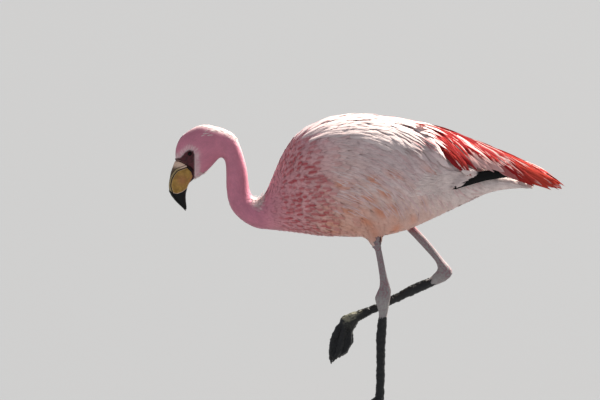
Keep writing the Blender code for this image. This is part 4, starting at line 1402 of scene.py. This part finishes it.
move_points(head_shell.data, head_at)
print("head's shell:", len(head_at), "points")

# %% [markdown]
# ## Legs and feet
#
# Shins and tarsi are rods of a few millimetres, and smoothing has thinned them, so they are swollen again
# by as much. Near the claws the shell keeps its swell, which closes the gap round each claw.

# %% The legs' shells, and all of them united
LEG_NODES = [f"{part}_{side}" for side in ("left", "right") for part in ("shank", "tarsus", "foot")]
MELTED_AWAY = 0.6 * MM  # what the smoothing has taken from the thin shins, given back
CLAWS = [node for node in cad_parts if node.startswith("claw")]
leg_shells = []
for side in ("left", "right"):
    leg_nodes = [f"{part}_{side}" for part in ("shank", "tarsus", "foot")]
    shell = melted(f"leg_shell_{side}", leg_nodes, 1.1, 5,
                   [BRIDGES[side], shin_inside(side, 32 * MM)])
    leg_at = points_of(shell.data)
    at_claws = smoothstep(2.5 * MM, 0.5 * MM, distance_to(leg_at, CLAWS))
    in_shin = np.isin(labels_at(leg_at, leg_nodes), (0, 1)).astype(float)
    in_shin = blurred(in_shin, edges_of(shell.data), 6)
    drawn_in(shell, SWELL * (1 - at_claws) - MELTED_AWAY * in_shin)
    leg_shells.append(shell)


def united(target, shells):
    for shell in shells:
        union = target.modifiers.new("unite", "BOOLEAN")
        union.operation = "UNION"
        union.solver = "MANIFOLD"
        union.object = shell
    applied(target)
    for shell in shells:
        bpy.data.objects.remove(shell, do_unlink=True)
    return target


united(skin, [head_shell] + leg_shells)
print("skin:", len(skin.data.vertices), "points,", len(triangles_of(skin.data)), "triangles")

# %% [markdown]
# ## Where the skin is bare
#
# Under the coat the skin carries the coat's own markings, so that nothing bare flashes between two
# feathers. Face and legs are bare. As on the form, each point takes the label of its nearest solid and the
# labels are blurred, here over a few millimetres only, since real borders between skin and feathers are
# sharp.

# %% Label the flesh
skin_at = points_of(skin.data)
skin_edges = edges_of(skin.data)
BARE_NODES = ["face"] + LEG_NODES
ALL_FLESH = FEATHERED + BARE_NODES
skin_labels = np.array(ALL_FLESH)[labels_at(skin_at, ALL_FLESH)]
skin_face = blurred((skin_labels == "face").astype(float), skin_edges, 2)
skin_leg = np.isin(skin_labels, LEG_NODES)
in_tuft = (skin_labels == "thigh_left") & (skin_at[:, 0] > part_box("shank_left")[0].x)
skin_leg |= in_tuft & (skin_at[:, 2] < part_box("thigh_left")[0].z + BARE_ABOVE["left"])
skin_leg = blurred(skin_leg.astype(float), skin_edges, 3)
# the skin takes the same painted highlight on the crown and nape as the coat
near_face, sunlit = near_form(skin_at, form_near_face), near_form(skin_at, facing_key_light(form_normals))
skin_rose, skin_apricot = markings(skin_at, near_face, sunlit)
print("skin:", dict(zip(*np.unique(skin_labels, return_counts=True))))

# %% [markdown]
# ## Mud
#
# Grey mud has dried below the ankles, and where the bird has waded, wet black mud coats the standing leg,
# the end of the raised one and both feet. It is a millimetre thick and lumpy, and its edge is ragged, so
# noise with lumps of a few millimetres moves both. On the floor the mud thins out, so that the foot stands
# flat.

# %% Coat the legs with mud
def lumps(points, size_mm):
    """Smooth noise from -1 to 1 with lumps of a size."""
    return np.array([noise.noise(point) for point in (points / (size_mm * MM)).tolist()])


def down_the_leg(side):
    """How far down a leg the skin's points are, in metres along the tarsus from where it meets the shank."""
    shank = skin_at[skin_labels == f"shank_{side}"]
    ankle = shank[distance_to(shank, [f"tarsus_{side}"]).argmin()]
    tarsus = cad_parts[f"tarsus_{side}"].data
    end = points_of(tarsus)[distance_to(points_of(tarsus), [f"foot_{side}"]) < 4 * MM].mean(axis=0)
    return (skin_at - ankle) @ unit(end - ankle)


MUD_STARTS = {"left": 51 * MM, "right": 35 * MM}  # this far below each ankle
MUD_THICK = 1.1 * MM
in_leg = np.flatnonzero(skin_leg > 0.01)
ragged, lumpy, wet, dry = np.zeros((4, len(skin_at)))
ragged[in_leg] = 5 * MM * lumps(skin_at[in_leg], 4.5) + 3 * MM * lumps(skin_at[in_leg], 1.7)
lumpy[in_leg] = 0.75 + 1.0 * lumps(skin_at[in_leg], 7) + 0.7 * lumps(skin_at[in_leg], 2.5)
for side, start in MUD_STARTS.items():
    down = down_the_leg(side)
    of_tarsus = np.isin(skin_labels, [f"tarsus_{side}", f"foot_{side}"])
    wet = np.where(of_tarsus, smoothstep(start - 1 * MM, start + 1 * MM, down + ragged), wet)
    wet = np.where(skin_labels == f"foot_{side}", 1.0, wet)
    dry = np.where(of_tarsus, smoothstep(2 * MM, 26 * MM, down), dry)
wet, dry = wet * skin_leg, dry * skin_leg
above_floor = smoothstep(0.5 * MM, 5 * MM, skin_at[:, 2])
drawn_in(skin, -MUD_THICK * blurred(wet, skin_edges, 2) * np.clip(lumpy, 0.25, 1.9) * above_floor)
print("mud: wet on", int((wet > 0.5).sum()), "points, dry on", int((dry > 0.5).sum()))

# %% [markdown]
# ## Notes for the skin's material
#
# A material can't tell where it is on a bird, so the places are noted on the points. The shins are redder
# towards the thigh, a flange of pale horn shows at the corner of the gape, and pale silt has settled on the
# raised foot.

# %% Mark the skin
flushed = smoothstep(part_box("thigh_left")[0].z + 8 * MM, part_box("thigh_right")[0].z + 14 * MM, skin_at[:, 2])
store(skin.data, "marks", np.stack([skin_rose, skin_apricot, 0 * skin_rose, 0 * skin_rose], axis=1))
store(skin.data, "bare", np.stack([skin_face, skin_leg, wet, dry - flushed], axis=1))
lid_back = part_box("upper_bill")[1].x
flange = smoothstep(3.4 * MM, 2.2 * MM, distance_to(skin_at, ["upper_bill"]))
flange *= smoothstep(lid_back - 24 * MM, lid_back - 12 * MM, skin_at[:, 0]) * skin_face
store(skin.data, "flange", flange[:, None])
silt = smoothstep(30 * MM, 12 * MM, distance_to(skin_at, ["foot_right"]))
silt = 0.1 + 0.9 * silt * smoothstep(24 * MM, 8 * MM, distance_to(skin_at, ["tarsus_right"]))
store(skin.data, "silt", silt[:, None])
print("marked: shins", int((flushed > 0.5).sum()), "flange", int((flange > 0.5).sum()), "points")

# %% [markdown]
# ## What the skin looks like
#
# Bare skin round the eye and at the bill's base is maroon and pebbled, in patches of some 6 mm, which sets
# the small head off as the darkest warm spot. The legs are a dusty pink flecked with grey every 3 mm, with
# low scales 2.4 mm across that break up the light along the rods. Dry mud is matt and pale and wet mud nearly
# black and glossier. Mostly on the raised foot, olive lies on what faces up: partly silt, partly a painted
# highlight on the tops of the wet mud. These draw the lower legs as crusty and soaked. One material holds
# them all, because the skin is one surface.

# %% Skin
MAROON = "#5c2028"
MAROON_DARK = "#3a1519"
FLESH_HORN = "#eecdb6"
LEG_PINK = "#926d76"
LEG_RED = "#8e4650"
LEG_GREY = "#989392"
DRY_MUD = "#aaa5a2"
WET_MUD = "#17181a"
OLIVE_SILT_AND_HIGHLIGHT = "#8b8a76"
SCALE_MM = 2.381

skin_finish, tree, shader = new_material("bare_skin_and_down", 0.6, 0.4)
bare = add(tree, "ShaderNodeAttribute", {"attribute_name": "bare"})
on_face, on_leg, in_mud = add(tree, "ShaderNodeSeparateColor", Color=bare).outputs[:3]
flange = add(tree, "ShaderNodeAttribute", {"attribute_name": "flange"}).outputs["Fac"]
maroon = layered(tree, MAROON, (patches(tree, 6.25, 4, 0.4, 0.65), MAROON_DARK), (flange, FLESH_HORN))

flushed = add(tree, "ShaderNodeMapRange", i0=bare.outputs["Alpha"], i1=0.0, i2=-1.0)
caked = add(tree, "ShaderNodeMath", TIMES_PLUS, i0=patches(tree, 4.167, 4, 0.35, 0.6), i1=0.6, i2=0.4)
caked = add(tree, "ShaderNodeMath", TIMES_CLAMPED, i0=caked, i1=bare.outputs["Alpha"])
flecks = patches(tree, 3.03, 5, 0.38, 0.58)
pink = layered(tree, LEG_PINK, (flecks, LEG_GREY), (flushed, LEG_RED), (caked, DRY_MUD))

silt = add(tree, "ShaderNodeAttribute", {"attribute_name": "silt"}).outputs["Fac"]
normal = add(tree, "ShaderNodeNewGeometry").outputs["Normal"]
facing = add(tree, "ShaderNodeSeparateXYZ", Vector=normal).outputs["Z"]
facing = add(tree, "ShaderNodeMath", TIMES_PLUS, i0=silt, i1=0.45, i2=facing)
# partly painted highlight: olive grows where the wet mud faces up, partly silt
upward = add(tree, "ShaderNodeMapRange", EASED, i0=facing, i1=0.35, i2=0.95, i3=0.05)
olive = add(tree, "ShaderNodeMath", TIMES_PLUS, i0=silt, i1=0.5, i2=patches(tree, 7.692, 3, 0.36, 0.64))
olive = add(tree, "ShaderNodeMath", TIMES, i0=olive, i1=upward)
olive = add(tree, "ShaderNodeMath", TIMES_CLAMPED, i0=olive, i1=silt)
mud = layered(tree, WET_MUD, (olive, OLIVE_SILT_AND_HIGHLIGHT))

colour = layered(tree, pigmented(tree), (on_face, maroon), (on_leg, pink), (in_mud, mud))
gloss = add(tree, "ShaderNodeMapRange", i0=in_mud, i3=0.62, i4=0.38)
place = add(tree, "ShaderNodeTexCoord").outputs["Object"]
scales = add(tree, "ShaderNodeTexVoronoi", {"feature": "DISTANCE_TO_EDGE"}, Vector=place,
             Scale=1000 / SCALE_MM)
height = add(tree, "ShaderNodeMapRange", i0=scales.outputs["Distance"], i1=0.0, i2=0.25)
strength = add(tree, "ShaderNodeMath", LARGER, i0=on_face, i1=on_leg)
bump = add(tree, "ShaderNodeBump", Strength=strength, Distance=0.25 * MM, Height=height)
connect(tree, shader, Base_Color=colour, Roughness=gloss, Normal=bump)
skin.data.shade_smooth()
skin.data.materials.clear()
skin.data.materials.append(skin_finish)
skin.data.polygons.foreach_set("material_index", np.zeros(len(skin.data.polygons), dtype=np.int32))
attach(skin, "root")
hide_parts(*ALL_FLESH)
print("material:", skin_finish.name)

# %% [markdown]
# ## Bill
#
# The bill is a bent sieve: a thin upper mandible lies like a lid on a deep lower one, and both are black
# from the bend on. Horn grows in plates, so a groove runs along the lid a few millimetres above the gape,
# with the nostril in it. All of this follows from distances: to the other mandible, to the face and to the
# black tip, and they are kept on the points for the horn's colours. Each mandible stays one piece from base
# to tip, since on the bird only the colour changes there.

# %% Two mandibles
NOSTRIL = ((0.62, 0.55), (0.36, 0.28))  # ends of the slit, as shares of the lid's box
NOSTRIL_DEEP = 0.9 * MM
TOUCH = 0.1 * MM  # how far each mandible is left swollen
GAPE_REACH = 20 * MM  # distances to the other mandible and to the face are kept as shares of these
FACE_REACH = 50 * MM
PLATE_ABOVE = 5 * MM  # how far above the gape the groove runs


def eased_mandible(word):
    """A mandible with the corners of its side view rounded, but for its tip."""
    nodes = [f"{word}_bill", f"{word}_bill_tip"]
    piece = melted(f"{word}_mandible", nodes, 0.5, 8)
    points = points_of(piece.data)
    edges = edges_of(piece.data)
    share = blurred((labels_at(points, nodes) == 0).astype(float), edges, 12)[:, None]
    points += (blurred(points, edges, 90) - points) * share
    move_points(piece.data, points)
    return piece


MANDIBLES = {word: eased_mandible(word) for word in ("upper", "lower")}


def nostril(points, low, high):
    """1 along the slit of a nostril on both sides of the lid, and 0 away from it."""
    a, b = (low[[0, 2]] + np.array(end) * (high - low)[[0, 2]] for end in NOSTRIL)
    along = np.clip(((points[:, [0, 2]] - a) @ (b - a)) / ((b - a) @ (b - a)), 0, 1)
    aside = np.linalg.norm(points[:, [0, 2]] - a - along[:, None] * (b - a), axis=1)
    return np.exp(-((aside / (0.8 * MM)) ** 2)) * smoothstep(2 * MM, 4 * MM, abs(points[:, 1]))


def mandible(word, other):
    nodes = [f"{word}_bill", f"{word}_bill_tip"]
    piece = MANDIBLES[word]
    points = points_of(piece.data)
    edges = edges_of(piece.data)
    other_mesh = MANDIBLES[other].data
    other_tree = BVHTree.FromPolygons(points_of(other_mesh).tolist(), triangles_of(other_mesh).tolist())
    hits = [other_tree.find_nearest(point) for point in points.tolist()]
    to_other = np.array([hit[3] for hit in hits])
    inwards = (normals_of(piece.data) * unit(np.array([hit[0] for hit in hits]) - points)).sum(axis=1)
    to_face = distance_to(points, ["face"])
    black_tip = blurred((labels_at(points, nodes) == 1).astype(float), edges, 5)
    low, high = (np.array(corner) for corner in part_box(f"{word}_bill"))
    is_lid = word == "upper"
    slit = nostril(points, low, high) if is_lid else np.zeros(len(points))
    centre = (low + high) / 2
    warm = np.exp(-(np.linalg.norm((points - centre)[:, [0, 2]], axis=1) / (9 * MM)) ** 2)
    groove = 0.45 * MM * np.exp(-((to_other / (1.1 * MM)) ** 2)) * smoothstep(0.6, 0.2, inwards)
    plate = 0.3 * MM * np.exp(-(((to_other - PLATE_ABOVE) / (0.8 * MM)) ** 2)) * is_lid
    drawn_in(piece, SWELL - TOUCH + groove + plate + NOSTRIL_DEEP * slit)
    kept = [black_tip, to_other / GAPE_REACH, to_face / FACE_REACH, np.where(slit > 0.3, -1, warm)]
    store(piece.data, "horn", np.stack(kept, axis=1))
    piece.data.shade_smooth()
    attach(piece, "root")
    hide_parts(*nodes)
    print(piece.name, len(points), "points")
    return piece


upper = mandible("upper", "lower")
lower = mandible("lower", "upper")

# %% [markdown]
# ## Lining of the mouth
#
# Between the mandibles the gape is a thin dark line, and at its corner soft skin joins them to the face. A
# closed body just inside the horn stops light from showing through the gap. It is almost black between the
# mandibles, painted shade of the narrow gap, and maroon where it meets the face.

# %% Mouth lining
LINING_DEEP = 1.5 * MM  # how far inside the bill's outside it lies
# painted shade: the near-black of the narrow gap between the mandibles
MOUTH_SHADE = "#1a1110"
BILL_NODES = ["upper_bill", "upper_bill_tip", "lower_bill", "lower_bill_tip"]
lining = melted("mouth_lining", BILL_NODES, 1.0, 6, [BRIDGES["lower"], BRIDGES["upper"]])
drawn_in(lining, np.full(len(lining.data.vertices), SWELL + LINING_DEEP))
at_face = smoothstep(3.2 * MM, 1.2 * MM, distance_to(points_of(lining.data), ["face"]))
store(lining.data, "at_face", at_face[:, None])
lining_finish, tree, shader = new_material("mouth_lining", 0.7, 0.2)
at_face = add(tree, "ShaderNodeAttribute", {"attribute_name": "at_face"}).outputs["Fac"]
connect(tree, shader, Base_Color=layered(tree, MOUTH_SHADE, (at_face, MAROON_DARK)))
lining.data.shade_smooth()
lining.data.materials.append(lining_finish)
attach(lining, "root")
print("lining:", len(lining.data.vertices), "points")

# %% [markdown]
# ## Horn
#
# Horn is smooth and a little waxy, worn matt and finely scratched along its length, so its highlights are
# soft and broad. The lid is brown-grey with a flesh-coloured base and a dark line in the groove between two
# plates. The side of the trough is the bird's one yellow: ochre, paler along the gape, with a warm middle.
# Both are dark brown along the gape, painted shade where the two meet, and black from the bend on. The
# nostril is painted dark too, as shade in its slit. Colours lie in coats, each fading in over a distance. The
# scratches are drawn a millimetre wide and eight long; real ones are ten times as fine.

# %% Horn
OCHRE = "#c0964a"
OCHRE_PALE = "#e2c096"
OCHRE_DEEP = "#9c7432"
WARM_HORN = "#b87850"
GREEN_HORN = "#a8946a"
BROWN_HORN = "#6b5645"
PLATE_LINE = "#2b211b"
NOSTRIL_SHADE = "#1a1412"
GAPE_SHADE = "#1e1613"
BLACK_HORN = "#080707"
SCRATCHES = (1.11, 1.11, 8.33)  # mm


def covered(tree, colour, *coats):
    """Coats over a colour. Each fades in while a value goes from one level to another, up to its strength."""
    for value, start, full, strength, over in coats:
        share = add(tree, "ShaderNodeMapRange", EASED, i0=value, i1=start, i2=full, i4=strength)
        colour = layered(tree, colour, (share, over))
    return colour


def horn_material(name, is_lid):
    made, tree, shader = new_material(name, 0.45, 0.25)
    horn = add(tree, "ShaderNodeAttribute", {"attribute_name": "horn"})
    tip, gape, base = add(tree, "ShaderNodeSeparateColor", Color=horn).outputs[:3]
    if is_lid:
        below = add(tree, "ShaderNodeMapRange", EASED, i0=gape, i1=0.18, i2=0.23)
        plate = add(tree, "ShaderNodeMapRange", EASED, i0=gape, i1=0.30, i2=0.25, i4=0.75)
        plate = add(tree, "ShaderNodeMath", TIMES, i0=plate, i1=below)
        colour = covered(tree, GREEN_HORN, (gape, 0.20, 0.26, 1.0, BROWN_HORN),
                         (base, 0.32, 0.14, 1.0, FLESH_HORN))
        colour = layered(tree, colour, (plate, PLATE_LINE))
        # painted shade in the nostril slit
        colour = covered(tree, colour, (horn.outputs["Alpha"], 0.0, -0.5, 1.0, NOSTRIL_SHADE))
    else:
        warm = add(tree, "ShaderNodeMath", TIMES, i0=horn.outputs["Alpha"], i1=0.75)
        colour = layered(tree, OCHRE, (patches(tree, 6.667, 3, 0.35, 0.7), OCHRE_DEEP))
        colour = covered(tree, colour, (gape, 0.16, 0.05, 1.0, OCHRE_PALE))
        colour = layered(tree, colour, (warm, WARM_HORN))
        colour = covered(tree, colour, (base, 0.14, 0.04, 0.6, WARM_HORN), (tip, 0.02, 0.15, 1.0, FLESH_HORN))
    worn = add(tree, "ShaderNodeMath", TIMES, i0=patches(tree, 3.846, 5, 0.35, 0.7), i1=0.25)
    colour = layered(tree, colour, (worn, BROWN_HORN))
    # painted shade along the gape, where the mandibles meet
    colour = covered(tree, colour, (gape, 0.07, 0.035, 1.0, GAPE_SHADE), (tip, 0.42, 0.58, 1.0, BLACK_HORN))
    place = add(tree, "ShaderNodeTexCoord").outputs["Object"]
    stretch = add(tree, "ShaderNodeMapping", Vector=place, Rotation=(0.0, 0.35, 0.0),
                  Scale=tuple(1000 / size for size in SCRATCHES))
    scratches = add(tree, "ShaderNodeTexNoise", Vector=stretch, Scale=1.0, Detail=3.0)
    bump = add(tree, "ShaderNodeBump", Strength=0.2, Distance=0.15 * MM, Height=scratches)
    connect(tree, shader, Base_Color=colour, Normal=bump)
    return made


upper.data.materials.append(horn_material("horn_of_lid", True))
lower.data.materials.append(horn_material("horn_of_trough", False))
print("materials:", upper.data.materials[0].name, lower.data.materials[0].name)

# %% [markdown]
# ## Eyes
#
# The eyes are small and sit deep in the maroon skin, so that they read as one dark point with a glint. Each
# is a ball with a slightly bulging cornea; behind it a brown iris rings the pupil. Its wet surface is the
# smoothest on the bird. Rings and rays are laid out one by one, since the cornea's bulge needs its own axis.

# %% Eyeballs
EYE_RINGS = 40
EYE_RAYS = 64
CORNEA = 0.55  # share of the eye's radius that the cornea reaches
BULGE = 1.07  # how far the cornea stands out, in radii
PUPIL = 0.36
SOCKET = "#1c0e0a"
IRIS = "#311a10"
IRIS_RIM = "#170a0a"
PUPIL_BLACK = "#030202"
eye_finish, tree, shader = new_material("wet_eye", 0.1, 0.15)
outward = add(tree, "ShaderNodeAttribute", {"attribute_name": "from_axis"}).outputs["Fac"]
colour = covered(tree, SOCKET, (outward, 0.5, 0.36, 1.0, IRIS),
                 (outward, CORNEA - 0.04, CORNEA + 0.04, 1.0, IRIS_RIM),
                 (outward, PUPIL + 0.02, PUPIL - 0.02, 1.0, PUPIL_BLACK))
connect(tree, shader, Base_Color=colour)


def eyeball(word, side):
    low, high = (np.array(corner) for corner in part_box(f"eye_{word}"))
    centre, radius = (low + high) / 2, (high[0] - low[0]) / 2
    axis = unit(np.array([-0.25, side, 0.0]))
    level = unit(np.cross(axis, [0, 0, 1]))
    upright = np.cross(level, axis)
    polar = np.linspace(0, math.pi, EYE_RINGS + 1)[1:-1]
    around = np.linspace(0, 2 * math.pi, EYE_RAYS, endpoint=False)
    bulge = 1 + (BULGE - 1) * smoothstep(CORNEA, 0, np.sin(polar)) * (np.cos(polar) > 0)
    ring = np.cos(around)[:, None] * level + np.sin(around)[:, None] * upright
    points = np.sin(polar)[:, None, None] * ring + np.cos(polar)[:, None, None] * axis
    points = points * bulge[:, None, None]
    points = np.concatenate([points.reshape(-1, 3), axis[None] * BULGE, -axis[None]]) * radius * 0.99 + centre
    rings = EYE_RINGS - 1
    faces = [(r * EYE_RAYS + k, r * EYE_RAYS + (k + 1) % EYE_RAYS, (r + 1) * EYE_RAYS + (k + 1) % EYE_RAYS,
              (r + 1) * EYE_RAYS + k) for r in range(rings - 1) for k in range(EYE_RAYS)]
    last = rings * EYE_RAYS
    faces += [(last, (k + 1) % EYE_RAYS, k) for k in range(EYE_RAYS)]
    start = (rings - 1) * EYE_RAYS
    faces += [(last + 1, start + k, start + (k + 1) % EYE_RAYS) for k in range(EYE_RAYS)]
    piece = mesh_object(f"eyeball_{word}", points.tolist(), faces)
    work = bmesh.new()
    work.from_mesh(piece.data)
    bmesh.ops.recalc_face_normals(work, faces=work.faces)
    work.to_mesh(piece.data)
    work.free()
    from_axis = np.linalg.norm(np.cross(unit(points - centre), axis), axis=1)
    from_axis = np.where((points - centre) @ axis > 0, from_axis, 2.0)
    store(piece.data, "from_axis", from_axis[:, None])
    piece.data.shade_smooth()
    piece.data.materials.append(eye_finish)
    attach(piece, "root")
    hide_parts(f"eye_{word}")


eyeball("left", -1)
eyeball("right", 1)
print("eyes: radius", round(EYE_RADIUS / MM, 2), "mm")

# %% [markdown]
# ## Claws
#
# The claws keep the solids' shapes. They are short, blunt and black, with a horny gloss that sets them off
# from the mud, and worn browner in patches of some 3 mm.

# %% Claw horn
CLAW_BLACK = "#141313"
CLAW_WORN = "#2b2826"
claw_finish, tree, shader = new_material("claw_horn", 0.4, 0.5)
connect(tree, shader, Base_Color=layered(tree, CLAW_BLACK, (patches(tree, 3.333, 4, 0.4, 0.7), CLAW_WORN)))
for node in CLAWS:
    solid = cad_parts[node].data
    solid.materials.clear()
    solid.materials.append(claw_finish)
    solid.shade_smooth()
print("claws:", len(CLAWS))

# %% [markdown]
# ## Camera
#
# The bird was seen from its left side, from a little above the water and a long way off through a long
# lens, so the camera stands 11 m away and 6 degrees up. The lens follows from the width that it has to take
# in there.

# %% Camera
VIEW_ELEVATION = math.radians(6)
VIEW_DISTANCE = 11.0
VIEW_WIDTH = 1.032  # metres across the picture at the bird
AIM = Vector((-0.136, 0.0, 0.364))
SENSOR = 36.0  # mm
camera_data = bpy.data.cameras.new("camera")
camera_data.sensor_width = SENSOR
camera_data.lens = SENSOR * VIEW_DISTANCE / VIEW_WIDTH
camera_data.clip_end = 60
camera = bpy.data.objects.new("camera", camera_data)
back = Vector((0.0, -math.cos(VIEW_ELEVATION), math.sin(VIEW_ELEVATION)))
camera.location = AIM + back * VIEW_DISTANCE
camera.rotation_euler = (-back).to_track_quat("-Z", "Y").to_euler()
bpy.context.scene.collection.objects.link(camera)
bpy.context.scene.camera = camera
print("lens:", round(camera_data.lens), "mm")

# %% [markdown]
# ## Light and floor
#
# A long lens flattens the form, which is why the light has to draw it: a strong sun high behind the bird
# rims its back, and a weak, wide and cooler one in front lifts the shaded side, as a bright sky does. The
# floor is matt grey studio paper. It gives the eye a neutral ground, so that pink and crimson look as
# strong as they are. The Standard view transform keeps the named colours as they were named.

# %% Stage
SUN_WARM = "#fff8ee"
SKY_COOL = "#e8eeff"
PAPER_GREY = "#76797d"
STUDIO_AIR = "#dfe4ee"
AIR_STRENGTH = 0.35
FLOOR_SIZE = 60


def sun(name, towards_light, spread, strength, colour):
    """A lamp so far away that its rays are parallel; spread is its width in the sky in degrees."""
    data = bpy.data.lights.new(name, "SUN")
    data.angle = math.radians(spread)
    data.energy = strength
    data.color = linear(colour)[:3]
    made = bpy.data.objects.new(name, data)
    made.rotation_euler = Vector(towards_light).to_track_quat("Z", "Y").to_euler()
    bpy.context.scene.collection.objects.link(made)


sun("key", (0.50, 0.42, 0.76), 10, 12, SUN_WARM)
sun("fill", (-0.45, -0.75, 0.35), 60, 0.22, SKY_COOL)
corners = [(x * FLOOR_SIZE, y * FLOOR_SIZE, 0) for x, y in ((-1, -1), (1, -1), (1, 1), (-1, 1))]
floor = mesh_object("floor", corners, [(0, 1, 2, 3)])
paper, tree, shader = new_material("studio_paper", 0.9, 0.2, Base_Color=PAPER_GREY)
floor.data.materials.append(paper)
world = bpy.data.worlds.new("studio")
world.use_nodes = True
connect(world.node_tree, world.node_tree.nodes["Background"], Color=STUDIO_AIR, Strength=AIR_STRENGTH)
bpy.context.scene.world = world
bpy.context.scene.view_settings.view_transform = "Standard"

# %% [markdown]
# ## Finish
#
# The form was only a guide, so it goes.

# %% Remove the guide and finish
bpy.data.objects.remove(form, do_unlink=True)
